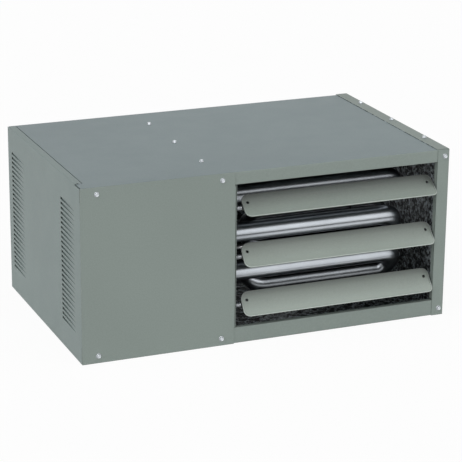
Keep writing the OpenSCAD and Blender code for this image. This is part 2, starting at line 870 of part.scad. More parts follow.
module burner_bracket() {
    flange_x = partition_x - header_t;
    color(galvanised) from_corner() difference() {
        union() {
            bracket_plate(bracket_inlet_x);
            bracket_plate(bracket_head_x);
            translate([bracket_inlet_x, bracket_back_y, bracket_z0])
                cube([flange_x - bracket_inlet_x, bracket_t, bracket_z1 - bracket_z0]);
            translate([flange_x - bracket_t, bracket_back_y, bracket_z0])
                cube([bracket_t, joint_flange, bracket_z1 - bracket_z0]);
        }
        for (i = [0:tube_count - 1]) {
            translate([bracket_inlet_x - overrun, tube_front_y, tube_z(i)]) along_x()
                cylinder(h = bracket_t + 2 * overrun, r = burner_inlet_r + hole_fit);
            translate([bracket_head_x - overrun, tube_front_y, tube_z(i)]) along_x()
                cylinder(h = bracket_t + 2 * overrun, r = burner_head_r + hole_fit);
        }
        for (z = [tube_top_z, tube_z(tube_count - 1)]) {
            translate([bracket_head_x - overrun, sensor_y, z]) along_x()
                cylinder(h = bracket_t + 2 * overrun, r = sensor_r + hole_fit);
        }
        translate([bracket_head_x - overrun, rollout_y, rollout_z]) along_x()
            cylinder(h = bracket_t + 2 * overrun, r = rollout_r - rollout_rim);
    }
}

rollout_rim = 2;
rollout_l = 11;
button_r = 2.4;
button_l = 8;
button_travel = 1.5;

module rollout_switch() {
    color(black_plastic) from_corner() translate([bracket_head_x, rollout_y, rollout_z])
        rotate([0, -90, 0]) difference() {
            union() {
                cylinder(h = rollout_l, r = rollout_r);
                translate([0, 0, -bracket_t - rollout_rim])
                    cylinder(h = bracket_t + 2 * rollout_rim, r = rollout_r - rollout_rim - hole_fit);
            }
            translate([0, 0, rollout_l - button_l])
                cylinder(h = button_l + overrun, r = button_r + run_fit);
        }
}

module rollout_reset_button() {
    color("firebrick") from_corner()
        translate([bracket_head_x - rollout_l - button_travel - seat, rollout_y, rollout_z]) along_x()
            cylinder(h = button_l - seat, r = button_r);
}

sensor_rod_r = 1.1;
sensor_collar_r = 5;
sensor_collar_t = 3;
sensor_back = 24;
sensor_front = 12;

// Ceramic body through the bracket, with a wire that reaches the flame
module flame_rod(z, tip) {
    translate([bracket_head_x, sensor_y, z]) along_x() {
        translate([0, 0, -sensor_back]) cylinder(h = sensor_back + sensor_front, r = sensor_r);
        translate([0, 0, -sensor_collar_t]) cylinder(h = sensor_collar_t, r = sensor_collar_r);
        translate([0, 0, -sensor_back - sensor_front]) cylinder(h = sensor_back, r = sensor_rod_r);
        cylinder(h = sensor_front + tip, r = sensor_rod_r);
    }
}

module spark_igniter() {
    color(ceramic_white) from_corner() flame_rod(tube_top_z, sensor_front);
}

module flame_sensor() {
    color(ceramic_white) from_corner() flame_rod(tube_z(tube_count - 1), sensor_front + burner_gap / 2);
}

orifice_hex_r = 7;
orifice_hex_l = 9;
orifice_nose_r = 4;
orifice_nose_l = 7;
orifice_bore_r = 0.8;
orifice_sunk = 3;

// Brass orifices, each screwed into the manifold and facing its burner
module burner_orifices() {
    color(brass_tone) from_corner() for (i = [0:tube_count - 1]) {
        translate([manifold_x + pipe_r + seat, tube_front_y, tube_z(i)]) along_x() difference() {
            union() {
                cylinder(h = orifice_hex_l, r = orifice_hex_r, $fn = 6);
                cylinder(h = orifice_hex_l + orifice_nose_l, r = orifice_nose_r);
                translate([0, 0, -orifice_sunk]) cylinder(h = orifice_sunk, r = orifice_nose_r);
            }
            translate([0, 0, -orifice_sunk - overrun])
                cylinder(h = 2 * orifice_hex_l + 2 * orifice_nose_l, r = orifice_bore_r);
        }
    }
}

valve_y0 = tube_front_y + manifold_run;
valve_y1 = valve_y0 + valve_l;
// Wall that a cap, boss, elbow or union adds round a pipe
fitting_wall = 3.5;
fitting_r = pipe_r + fitting_wall;
cap_h = 12;
manifold_top = tube_top_z + 2 * cap_h;

module gas_manifold() {
    color(dark_steel) from_corner() difference() {
        union() {
            translate([manifold_x, tube_front_y, gas_z]) cylinder(h = manifold_top - gas_z, r = pipe_r);
            translate([manifold_x, tube_front_y, manifold_top - cap_h]) cylinder(h = cap_h, r = fitting_r);
            translate([manifold_x, tube_front_y, gas_z]) sphere(fitting_r);
            translate([manifold_x, tube_front_y, gas_z]) cylinder(h = 2 * fitting_r, r = fitting_r);
            translate([manifold_x, tube_front_y, gas_z]) along_y()
                cylinder(h = valve_y0 - tube_front_y, r = pipe_r);
            translate([manifold_x, tube_front_y, gas_z]) along_y()
                cylinder(h = 2 * fitting_r, r = fitting_r);
        }
        translate([manifold_x, tube_front_y, gas_z])
            cylinder(h = manifold_top - gas_z - cap_h / 2, r = pipe_bore_r);
        translate([manifold_x, tube_front_y, gas_z]) along_y()
            cylinder(h = valve_y0 - tube_front_y + overrun, r = pipe_bore_r);
        for (i = [0:tube_count - 1]) {
            translate([manifold_x, tube_front_y, tube_z(i)]) along_x()
                cylinder(h = 2 * pipe_r, r = orifice_nose_r + run_fit);
        }
    }
}

// Shares of the valve's body that place what it carries
valve_above_share = 0.55;
knob_place_share = 0.3;
regulator_place_share = 0.7;
valve_top_z = gas_z + valve_h * valve_above_share;
knob_r = 13;
knob_h = 14;
knob_stem_r = 4;
knob_stem_h = 6;
knob_y = valve_y0 + valve_l * knob_place_share;
regulator_r = 11;
regulator_h = 12;
coil_w = 24;
coil_h = 20;
boss_l = 8;

module gas_valve() {
    color([0.6, 0.62, 0.63]) from_corner() difference() {
        union() {
            translate([manifold_x - valve_w / 2, valve_y0 + boss_l, valve_top_z - valve_h])
                cube([valve_w, valve_l - 2 * boss_l, valve_h]);
            translate([manifold_x, valve_y0, gas_z]) along_y() cylinder(h = valve_l, r = fitting_r);
            translate([manifold_x - valve_w / 4, valve_y0 + valve_l * regulator_place_share, valve_top_z])
                cylinder(h = regulator_h, r = regulator_r);
            translate([manifold_x, valve_y0 + valve_l - boss_l - coil_w, valve_top_z])
                cube([coil_w, coil_w, coil_h]);
        }
        translate([manifold_x, valve_y0 - overrun, gas_z]) along_y()
            cylinder(h = valve_l + 2 * overrun, r = pipe_bore_r);
        translate([manifold_x, knob_y, valve_top_z - knob_stem_h])
            cylinder(h = knob_stem_h + overrun, r = knob_stem_r + run_fit);
    }
}

knob_bar_w = 6;
knob_dish = 3;

module gas_valve_knob() {
    color("royalblue") from_corner() translate([manifold_x, knob_y, valve_top_z]) {
        translate([0, 0, seat - knob_stem_h]) cylinder(h = knob_stem_h, r = knob_stem_r);
        translate([0, 0, seat]) cylinder(h = knob_h - knob_dish, r = knob_r);
        translate([-knob_bar_w / 2, -knob_r + knob_dish, seat])
            cube([knob_bar_w, 2 * knob_r - 2 * knob_dish, knob_h]);
    }
}

union_l = 26;
// Plain mean of the pipe thread at the end: its depth below the pipe, and its length
thread_depth = 0.37;
thread_l = 20;

module gas_inlet_pipe() {
    length = casing_d + gas_stub - valve_y1;
    color(dark_steel) from_corner() translate([manifold_x, valve_y1, gas_z]) along_y() difference() {
        union() {
            cylinder(h = length - thread_l, r = pipe_r);
            cylinder(h = length, r = pipe_r - thread_depth);
            translate([0, 0, union_l]) cylinder(h = union_l, r = fitting_r + fitting_wall / 2, $fn = 6);
        }
        translate([0, 0, -overrun]) cylinder(h = length + 2 * overrun, r = pipe_bore_r);
    }
}

limit_body_r = 12;
limit_body_h = 10;
limit_flange_t = 1.5;
limit_bulb_l = 9;

module limit_switch() {
    color(black_plastic) from_corner() translate([partition_x, limit_y, limit_z]) {
        rotate([0, -90, 0]) cylinder(h = limit_flange_t, r = limit_body_r + rollout_rim);
        rotate([0, -90, 0]) cylinder(h = limit_body_h, r = limit_body_r);
        along_x() cylinder(h = limit_bulb_l, r = limit_hole_r - hole_fit);
    }
}

// Flue collector, draft inducer and vent

collector_t = 1.2;
collector_margin = 6;
collector_y0 = tube_back_y - tube_r - collector_margin;
collector_y1 = tube_back_y + tube_r + collector_margin;
collector_z0 = tube_low_z - tube_r - collector_margin;
collector_z1 = tube_top_z - tube_down + tube_r + collector_margin;
collector_x1 = partition_x - header_t;
collector_x0 = collector_x1 - collector_depth;
collector_rim = 5;
inducer_inlet_r = 16;
tap_r = 3;
tap_l = 10;
tap_bore_r = 1.5;
tap_x = collector_x0 + collector_depth / 2;

module flue_collector_box() {
    color(bare_steel) from_corner() difference() {
        union() {
            translate([collector_x0, collector_y0, collector_z0]) cube([collector_depth,
                collector_y1 - collector_y0, collector_z1 - collector_z0]);
            translate([collector_x1 - collector_t, collector_y0 - collector_rim,
                collector_z0 - collector_rim])
                cube([collector_t, collector_y1 - collector_y0 + 2 * collector_rim,
                    collector_z1 - collector_z0 + 2 * collector_rim]);
            translate([tap_x, tube_back_y, collector_z1]) cylinder(h = tap_l, r = tap_r);
        }
        translate([collector_x0 + collector_t, collector_y0 + collector_t, collector_z0 + collector_t])
            cube([collector_depth, collector_y1 - collector_y0 - 2 * collector_t,
                collector_z1 - collector_z0 - 2 * collector_t]);
        translate([collector_x0 - overrun, tube_back_y, inducer_z]) along_x()
            cylinder(h = collector_t + 2 * overrun, r = inducer_inlet_r);
        translate([tap_x, tube_back_y, collector_z1 - 2 * collector_t])
            cylinder(h = tap_l + 2 * collector_t + overrun, r = tap_bore_r);
    }
}

housing_t = 1.5;
housing_x1 = collector_x0;
housing_x0 = housing_x1 - inducer_w;
outlet_h = 40;
outlet_reach = 16;
outlet_l = inducer_r + outlet_reach;
inducer_shaft_r = 3;

// Outline of the inducer housing: a drum with an outlet along its top, towards the back
module inducer_outline(grow) {
    circle(inducer_r + grow);
    translate([0, inducer_r - outlet_h - grow]) square([outlet_l + 2 * grow, outlet_h + 2 * grow]);
}

module inducer_housing() {
    color(dark_steel) from_corner() translate([housing_x0, tube_back_y, inducer_z])
        rotate([90, 0, 90]) difference() {
            linear_extrude(inducer_w) difference() {
                inducer_outline(0);
                translate([outlet_l, -inducer_r]) square([outlet_l, 3 * inducer_r]);
            }
            translate([0, 0, housing_t]) linear_extrude(inducer_w - 2 * housing_t) union() {
                circle(inducer_r - housing_t);
                translate([0, inducer_r - outlet_h + housing_t])
                    square([outlet_l + overrun, outlet_h - 2 * housing_t]);
            }
            translate([0, 0, inducer_w / 2]) cylinder(h = inducer_w, r = inducer_inlet_r);
            translate([0, 0, -overrun]) cylinder(h = inducer_w / 2, r = 2 * inducer_shaft_r);
        }
}

wheel_gap = 6;
wheel_w = inducer_w - 2 * housing_t - 2 * wheel_gap;
wheel_x0 = housing_x0 + housing_t + wheel_gap;
wheel_plate_t = 1.5;
wheel_vanes = 24;
vane_t = 1;
vane_l = 11;
hub_r = 8;
hub_l = 12;

module inducer_wheel() {
    color(galvanised) from_corner() translate([wheel_x0, tube_back_y, inducer_z]) along_x() difference() {
        union() {
            cylinder(h = wheel_plate_t, r = inducer_wheel_r);
            cylinder(h = hub_l, r = hub_r);
            for (i = [0:wheel_vanes - 1]) rotate(i * 360 / wheel_vanes)
                translate([inducer_wheel_r - vane_l, -vane_t / 2, 0])
                    cube([vane_l - vane_t, vane_t, wheel_w]);
            translate([0, 0, wheel_w - wheel_plate_t])
                pipe(wheel_plate_t, inducer_wheel_r, inducer_wheel_r - vane_l);
        }
        translate([0, 0, -overrun]) cylinder(h = hub_l + 2 * overrun, r = inducer_shaft_r + run_fit);
    }
}

shaft_sunk = 18;

module inducer_shaft() {
    color(bare_steel) from_corner()
        translate([housing_x0 - motor_foot - shaft_sunk, tube_back_y, inducer_z]) along_x()
            cylinder(h = wheel_x0 + hub_l - housing_x0 + motor_foot + shaft_sunk, r = inducer_shaft_r);
}

motor_foot = 5;
motor_foot_r = 4;
motor_foot_spread_share = 0.7;

module inducer_motor() {
    color(black_plastic) from_corner() translate([housing_x0, tube_back_y, inducer_z])
        rotate([0, -90, 0]) difference() {
            union() {
                translate([0, 0, motor_foot]) cylinder(h = inducer_motor_l, r = inducer_motor_r);
                for (a = [0:120:240]) rotate(a)
                    translate([inducer_motor_r * motor_foot_spread_share, 0, 0])
                        cylinder(h = 2 * motor_foot, r = motor_foot_r);
            }
            translate([0, 0, motor_foot - overrun])
                cylinder(h = shaft_sunk + 2 * overrun, r = inducer_shaft_r + run_fit);
        }
}

transition_y0 = tube_back_y + outlet_l;
transition_y1 = casing_d - collar_inside;
outlet_z0 = inducer_z + inducer_r - outlet_h;

// Hollow of the duct between the inducer's square outlet and the round vent
module transition_form(cut) {
    hull() {
        translate([housing_x0 + cut, transition_y0 - (cut > 0 ? overrun : 0), outlet_z0 + cut])
            cube([inducer_w - 2 * cut, overrun, outlet_h - 2 * cut]);
        translate([collar_x, transition_y1 - overrun, collar_z]) along_y()
            cylinder(h = overrun + (cut > 0 ? overrun : 0), r = collar_r - cut, $fn = 32);
    }
}

module vent_transition() {
    color(bare_steel) from_corner() difference() {
        transition_form(0);
        transition_form(collector_t);
    }
}

collar_t = 1;
collar_flange = 12;
// Step by which the pipe's seat is wider than the rest of the collar
collar_step = 0.6;
collar_flange_r = collar_r + collar_flange;

module vent_collar() {
    length = casing_d + collar_l - transition_y1;
    inner_r = collar_r - collar_step;
    color(bare_steel) from_corner() translate([collar_x, transition_y1, collar_z]) along_y() difference() {
        union() {
            cylinder(h = length, r = inner_r);
            translate([0, 0, casing_d + 2 * collar_t - transition_y1])
                cylinder(h = collar_l - 2 * collar_t, r = collar_r);
            translate([0, 0, casing_d - transition_y1]) cylinder(h = collar_t, r = collar_flange_r);
        }
        translate([0, 0, -overrun]) cylinder(h = length + 2 * overrun, r = inner_r - collar_t);
    }
}

// Pressure switch on the partition, and its hose to the flue collector
switch_inset = 66;
switch_gap = 8;
switch_y = casing_d - switch_inset;
switch_body_t = 22;
switch_body_share = 0.86;
switch_rim_t = 4;
switch_arm = 6;
hose_r = 4.5;
hose_x = tap_x;
hose_bend_r = 12;
hose_z = collector_z1 + tap_l + hose_bend_r;
switch_z = min(hose_z, casing_inner_top - switch_r - switch_gap);
hose_y1 = switch_y - switch_r - switch_arm;

module pressure_switch() {
    color(black_plastic) from_corner() {
        translate([partition_x, switch_y, switch_z]) rotate([0, -90, 0]) {
            cylinder(h = switch_body_t, r = switch_r * switch_body_share);
            translate([0, 0, (switch_body_t - switch_rim_t) / 2]) cylinder(h = switch_rim_t, r = switch_r);
            cylinder(h = switch_body_t + switch_rim_t, r = switch_r / 2);
        }
        translate([hose_x, hose_y1 - tap_l, hose_z]) along_y() cylinder(h = tap_l + tap_r, r = tap_r);
        translate([hose_x - switch_arm / 2, hose_y1, hose_z - switch_arm / 2])
            cube([switch_arm, switch_r, switch_arm]);
    }
}

module pressure_hose() {
    bore = tap_r + run_fit;
    color(hose_grey) from_corner() {
        translate([hose_x, tube_back_y, collector_z1 + seat])
            pipe(hose_z - hose_bend_r - collector_z1 - seat, hose_r, bore);
        translate([hose_x, tube_back_y + hose_bend_r, hose_z - hose_bend_r]) rotate([0, -90, 0])
            rotate([0, 0, 180]) rotate([0, 180, 0])
                rotate_extrude(angle = 90) translate([hose_bend_r, 0]) difference() {
                    circle(hose_r);
                    circle(bore);
                }
        translate([hose_x, tube_back_y + hose_bend_r, hose_z]) along_y()
            pipe(hose_y1 - seat - tube_back_y - hose_bend_r, hose_r, bore);
    }
}

// Controls

board_t = 1.6;
standoff_h = 8;
standoff_r = 3.5;
board_edge = 6;
board_inset = 26;
board_y0 = casing_d - board_inset - board_l;
board_z0 = 34;
chip_t = 5;
relay_w = 20;
relay_h = 16;
relay_pitch = 28;

module at_board_corners() {
    for (y = [board_edge, board_l - board_edge]) {
        for (z = [board_edge, board_h - board_edge]) {
            translate([partition_x, board_y0 + y, board_z0 + z]) rotate([0, -90, 0]) children();
        }
    }
}

module board_standoffs() {
    color(ceramic_white) from_corner() at_board_corners() {
        cylinder(h = standoff_h, r = standoff_r);
    }
}

module control_board() {
    x1 = partition_x - standoff_h;
    color(board_green) from_corner() {
        translate([x1 - board_t, board_y0, board_z0]) cube([board_t, board_l, board_h]);
        for (k = [0:2]) translate([x1 - board_t - relay_h, board_y0 + board_edge + k * relay_pitch,
            board_z0 + board_h - board_edge - relay_w]) cube([relay_h, relay_w, relay_w]);
        translate([x1 - board_t - chip_t, board_y0 + board_l / 2, board_z0 + board_h / 3])
            cube([chip_t, 2 * relay_w, relay_w / 2]);
        translate([x1 - board_t - relay_h, board_y0 + board_edge, board_z0 + board_edge])
            cube([relay_h, board_l / 3, relay_w / 2]);
    }
}

transformer_off = 66;
transformer_gap = 34;
transformer_x = manifold_x + transformer_off;
transformer_y = valve_y1 + transformer_gap;
foot_t = 2;
core_share = 0.5;

module transformer() {
    color(dark_steel) from_corner() translate([transformer_x, transformer_y, sheet_t]) {
        cube([transformer_l, transformer_w, foot_t]);
        translate([0, transformer_w * (1 - core_share) / 2, 0])
            cube([transformer_l, transformer_w * core_share, transformer_h]);
        translate([transformer_l * (1 - core_share) / 2, 0, foot_t])
            cube([transformer_l * core_share, transformer_w, transformer_h - 4 * foot_t]);
    }
}

strip_l = 72;
strip_w = 22;
strip_base_h = 12;
strip_poles = 6;
strip_wall = 1.5;
strip_x = transformer_x;
strip_y = casing_d - joint_flange - sheet_t - 3 * strip_w / 2;
strip_pole_h_share = 0.7;
strip_pole_r_share = 0.28;

module terminal_strip() {
    pole = (strip_l - strip_wall) / strip_poles;
    color(black_plastic) from_corner() translate([strip_x, strip_y, sheet_t]) {
        cube([strip_l, strip_w, strip_base_h / 2]);
        for (i = [0:strip_poles]) translate([i * pole, 0, 0]) cube([strip_wall, strip_w, strip_base_h]);
        for (i = [0:strip_poles - 1]) translate([(i + 0.5) * pole + strip_wall / 2, strip_w / 2, 0])
            cylinder(h = strip_base_h * strip_pole_h_share, r = pole * strip_pole_r_share);
    }
}

// Fan

fan_back = 4;
fan_plane_y = casing_d - orifice_lip - fan_back;
fan_hub_r = 17;
fan_hub_l = 22;
fan_spider_r = 46;
fan_spider_t = 2.5;
fan_blade_t = 1.4;
fan_shaft_r = 4;
fan_blade_root_r = 30;
fan_camber_r = 110;
// Shares of the fan's radius that set a blade's outline
blade_tip_share = 0.42;
blade_root_share = 0.2;

module fan_blade() {
    rotate([fan_pitch, 0, 0]) intersection() {
        translate([0, 0, -fan_camber_r]) rotate([0, 90, 0])
            pipe(fan_r, fan_camber_r, fan_camber_r - fan_blade_t);
        translate([0, 0, -fan_hub_l]) linear_extrude(2 * fan_hub_l) intersection() {
            difference() {
                circle(fan_r, $fn = 96);
                circle(fan_blade_root_r);
            }
            polygon([[0, -fan_r * blade_root_share], [fan_r, -fan_r * blade_tip_share],
                [fan_r, fan_r * blade_tip_share], [0, fan_r * blade_root_share]]);
        }
    }
}

module fan_propeller() {
    color(galvanised) from_corner() translate([chamber_mid_x, fan_plane_y, fan_z]) along_y() difference() {
        union() {
            for (i = [0:fan_blades - 1]) rotate(i * 360 / fan_blades) fan_blade();
            translate([0, 0, -fan_spider_t]) cylinder(h = fan_spider_t, r = fan_spider_r);
            translate([0, 0, -fan_hub_l / 2]) cylinder(h = fan_hub_l, r = fan_hub_r);
        }
        translate([0, 0, -fan_hub_l]) cylinder(h = 2 * fan_hub_l, r = fan_shaft_r + run_fit);
    }
}

guard_plate_t = 4;
motor_y1 = casing_d + guard_depth - guard_plate_t;
motor_y0 = motor_y1 - motor_l;
fan_shaft_sunk = 20;

module fan_shaft() {
    y0 = fan_plane_y - fan_hub_l / 2;
    color(bare_steel) from_corner() translate([chamber_mid_x, y0, fan_z]) along_y()
        cylinder(h = motor_y0 + fan_shaft_sunk - y0, r = fan_shaft_r);
}

motor_boss_r = 14;
motor_boss_l = 6;
motor_fin_t = 2;

module fan_motor() {
    color(dark_steel) from_corner() translate([chamber_mid_x, motor_y0, fan_z]) along_y() difference() {
        union() {
            translate([0, 0, motor_boss_l]) cylinder(h = motor_l - motor_boss_l, r = motor_r);
            cylinder(h = motor_boss_l, r = motor_boss_r);
            for (k = [1:3]) translate([0, 0, motor_boss_l + k * (motor_l - motor_boss_l) / 4])
                cylinder(h = motor_fin_t, r = motor_r + motor_fin_t);
        }
        translate([0, 0, -overrun])
            cylinder(h = fan_shaft_sunk + 2 * overrun, r = fan_shaft_r + run_fit);
    }
}

guard_wires = 8;
guard_rings = 8;
guard_side_rings = 3;
guard_plate_r = 48;
guard_bend_r = 8;
guard_lap = 4;

module wire_ring(r) {
    rotate_extrude() translate([r, 0]) circle(wire_r);
}

// One wire: out from the motor's plate, round a bend and forward to the back panel
module guard_wire() {
    face = guard_depth - wire_r;
    translate([guard_plate_r - guard_lap, 0, face]) along_x()
        cylinder(h = guard_r - guard_bend_r - guard_plate_r + guard_lap, r = wire_r);
    translate([guard_r - guard_bend_r, 0, face - guard_bend_r]) rotate([90, 0, 0])
        rotate_extrude(angle = 90) translate([guard_bend_r, 0]) circle(wire_r);
    translate([guard_r, 0, 0]) cylinder(h = face - guard_bend_r, r = wire_r);
}

module guard_foot() {
    difference() {
        cylinder(h = wire_r, r = screw_washer_r + wire_r);
        translate([0, 0, -overrun]) cylinder(h = wire_r + 2 * overrun, r = screw_r + hole_fit);
    }
}

// The rings of the face lie inside the wires and those of the side outside them, welded where they cross
module fan_guard() {
    ring_step = (guard_r - guard_bend_r - guard_plate_r - guard_lap) / guard_rings;
    side_step = (guard_depth - guard_bend_r - 2 * wire_r - guard_lap) / guard_side_rings;
    color(dark_steel) from_corner() {
        translate([chamber_mid_x, casing_d, fan_z]) along_y() {
            translate([0, 0, guard_depth - guard_plate_t]) cylinder(h = guard_plate_t, r = guard_plate_r);
            for (i = [1:guard_rings]) {
                translate([0, 0, guard_depth - wire_r - guard_weld])
                    wire_ring(guard_plate_r + i * ring_step);
            }
            for (i = [0:guard_side_rings]) {
                translate([0, 0, wire_r + i * side_step]) wire_ring(guard_r + guard_weld);
            }
            for (i = [0:guard_wires - 1]) rotate((i + 0.5) * 360 / guard_wires) guard_wire();
        }
        at_guard_feet() guard_foot();
    }
}

// Fasteners

module front_panel_screws() {
    color(bare_steel) from_corner() at_front(front_screws) hex_screw();
}

module right_flange_screws() {
    color(bare_steel) from_corner() at_front(flange_screws) hex_screw();
}

module right_top_screws() {
    color(bare_steel) from_corner() at_top(right_top) hex_screw();
}

// These screws sit on the top panel, one sheet below the right panel's flange
module partition_screws() {
    color(bare_steel) from_corner() translate([0, 0, -sheet_t]) at_top(partition_top) hex_screw();
}

module back_panel_screws() {
    color(bare_steel) from_corner() at_back(back_screws) hex_screw();
}

module guard_screws() {
    color(bare_steel) from_corner() translate([0, wire_r, 0]) at_guard_feet() hex_screw();
}

top_panel();
bottom_panel();
right_side_panel();
left_access_panel();
front_left_panel();
back_panel();
partition();
louver_rail_left();
louver_rail_right();
louver_blade(0);  // louver_blade_1
louver_blade(1);  // louver_blade_2
louver_blade(2);  // louver_blade_3
louver_pivot_pins();
louver_springs();
header_plate();
heat_tube(0);  // heat_tube_1
heat_tube(1);  // heat_tube_2
heat_tube(2);  // heat_tube_3
tube_support();
burner_bracket();
burner(0);  // burner_1
burner(1);  // burner_2
burner(2);  // burner_3
burner_orifices();
gas_manifold();
gas_valve();
gas_valve_knob();
gas_inlet_pipe();
spark_igniter();
flame_sensor();
rollout_switch();
rollout_reset_button();
limit_switch();
flue_collector_box();
inducer_housing();
inducer_wheel();
inducer_shaft();
inducer_motor();
vent_transition();
vent_collar();
pressure_switch();
pressure_hose();
control_board();
board_standoffs();
transformer();
terminal_strip();
fan_propeller();
fan_shaft();
fan_motor();
fan_guard();
front_panel_screws();
right_flange_screws();
right_top_screws();
partition_screws();
back_panel_screws();
guard_screws();
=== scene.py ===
import json
import math

import bmesh
import bpy
from mathutils import Matrix, Vector


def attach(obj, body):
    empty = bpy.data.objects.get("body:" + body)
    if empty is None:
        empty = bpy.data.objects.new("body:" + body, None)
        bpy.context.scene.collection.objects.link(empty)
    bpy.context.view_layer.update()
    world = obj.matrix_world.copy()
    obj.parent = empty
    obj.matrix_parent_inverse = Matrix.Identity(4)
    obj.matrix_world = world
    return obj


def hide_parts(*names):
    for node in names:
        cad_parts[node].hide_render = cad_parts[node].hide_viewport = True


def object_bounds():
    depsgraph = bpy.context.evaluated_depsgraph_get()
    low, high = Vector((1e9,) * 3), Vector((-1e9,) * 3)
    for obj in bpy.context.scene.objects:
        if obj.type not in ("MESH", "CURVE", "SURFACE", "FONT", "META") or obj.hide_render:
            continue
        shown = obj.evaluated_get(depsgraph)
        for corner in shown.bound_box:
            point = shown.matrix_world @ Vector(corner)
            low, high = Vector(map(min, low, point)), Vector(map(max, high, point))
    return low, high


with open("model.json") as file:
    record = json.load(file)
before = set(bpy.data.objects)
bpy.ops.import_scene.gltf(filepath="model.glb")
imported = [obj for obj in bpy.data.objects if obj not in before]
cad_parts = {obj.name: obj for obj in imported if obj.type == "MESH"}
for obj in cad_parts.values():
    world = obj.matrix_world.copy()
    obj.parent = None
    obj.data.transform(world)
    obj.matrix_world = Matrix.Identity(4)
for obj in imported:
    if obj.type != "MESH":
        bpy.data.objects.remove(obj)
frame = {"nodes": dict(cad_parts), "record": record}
cad_low, cad_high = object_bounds()
nodes = frame["nodes"]
scene = bpy.context.scene

MM = 0.001
WHITE = (1, 1, 1, 1)

# The casing: half its width, its depth and its height. The frame's origin lies under its middle
CASING_HALF = (342 * MM, 209.5 * MM, 155.5 * MM)
CASING_LEFT, CASING_RIGHT = -CASING_HALF[0], CASING_HALF[0]
CASING_FRONT = -CASING_HALF[1]


def grey(value):
    return (value, value, value, 1)


# Tones of the finishes, linear: the dark and the light end of each one's changes
PAINT = ((0.220, 0.260, 0.240, 1), (0.240, 0.284, 0.262, 1))
# The bluish and side tones are a painted tint of the light falling on faces that look up or to the
# side
PAINT_SKYLIGHT_TINTED = ((0.192, 0.240, 0.248, 1), (0.208, 0.260, 0.268, 1))
PAINT_SIDELIGHT_TINTED = ((0.200, 0.248, 0.240, 1), (0.218, 0.270, 0.260, 1))
PAINT_LOUVER = ((0.250, 0.292, 0.262, 1), (0.275, 0.318, 0.286, 1))
# The hems' lighter tones are a painted highlight along the blades' lips
PAINT_EDGE_HIGHLIGHT = ((0.41, 0.46, 0.43, 1), (0.49, 0.54, 0.51, 1))
PAINT_SPECK = (grey(0.93), WHITE)
ZINC_SPANGLE = ((0.009, 0.011, 0.012, 1), (0.78, 0.86, 0.90, 1))
ZINC_CLOUD = ((0.06, 0.06, 0.062, 1), (0.2, 0.2, 0.21, 1))
ALUMINISED = ((0.52, 0.56, 0.60, 1), (0.66, 0.70, 0.74, 1))
ZINC_PLATED = ((0.50, 0.54, 0.57, 1), (0.74, 0.77, 0.80, 1))
DARK_STEEL = ((0.018, 0.019, 0.021, 1), (0.036, 0.037, 0.040, 1))
CAST_ALUMINIUM = ((0.42, 0.43, 0.44, 1), (0.58, 0.59, 0.60, 1))
BOARD = ((0.008, 0.075, 0.030, 1), (0.018, 0.150, 0.062, 1))
BRASS = ((0.52, 0.36, 0.12, 1), (0.74, 0.54, 0.22, 1))
FLOOR_PAINT = (grey(0.985), WHITE)

# Painted highlight and shade on a blade's enamel: lighter at its lip and darker towards its upper
# edge, at places from its lip (0) to its upper edge (1)
BLADE_PAINTED_SHADE = ((0.0, grey(1.3)), (0.35, grey(1.05)), (0.7, grey(0.78)), (1.0, grey(0.32)))

# Roughness of the finishes, from and to
ROUGH_ZINC = (0.34, 0.55)
ROUGH_CASING = (0.42, 0.54)
ROUGH_LOUVER = (0.32, 0.44)
ROUGH_TUBE = (0.26, 0.32)
ROUGH_ZINC_PLATED = (0.18, 0.36)
ROUGH_DARK_STEEL = (0.34, 0.55)
ROUGH_CAST = (0.42, 0.62)
ROUGH_BOARD = (0.28, 0.42)
ROUGH_BRASS = (0.24, 0.40)

# Moulded finishes: dark and light tone, roughness from and to, depth of the grain
MOULDED = {
    "blue_plastic": ((0.012, 0.05, 0.22, 1), (0.02, 0.075, 0.30, 1), (0.32, 0.46), 0.02 * MM),
    "red_plastic": ((0.36, 0.014, 0.012, 1), (0.50, 0.024, 0.02, 1), (0.30, 0.44), 0.02 * MM),
    "black_plastic": ((0.012, 0.012, 0.013, 1), (0.026, 0.026, 0.028, 1), (0.36, 0.55), 0.04 * MM),
    "white_ceramic": ((0.66, 0.63, 0.58, 1), (0.80, 0.78, 0.74, 1), (0.25, 0.45), 0.03 * MM),
    "grey_rubber": ((0.05, 0.05, 0.052, 1), (0.09, 0.09, 0.095, 1), (0.6, 0.8), 0.05 * MM),
}

# Where the casing's paint ends. Each pair runs from where there is none to where it is full
OUTWARD = (0.25, 0.35)              # how squarely a face looks away from the casing's middle
FRONT_FACING = (-0.3, -0.7)         # Y of the direction that a face looks in
VENT_FACING = (0.5, 0.3)            # X of that direction, for the pressed vents
RIM_DEPTH = 12 * MM                 # behind the front face
RIM_FADE = 3 * MM
RIM_WOBBLE = 4 * MM
WALL_FROM, WALL_TO = 8 * MM, 4 * MM                 # in from the right face: its sheet
OVERSPRAY_FROM, OVERSPRAY_TO = 62 * MM, 34 * MM     # behind the front face: overspray on it
OVERSPRAY_WOBBLE = 24 * MM
VENTS_FROM, VENTS_TO = 3.9 * MM, 3.6 * MM           # in from the left face: the pressed vents


# Shader helpers

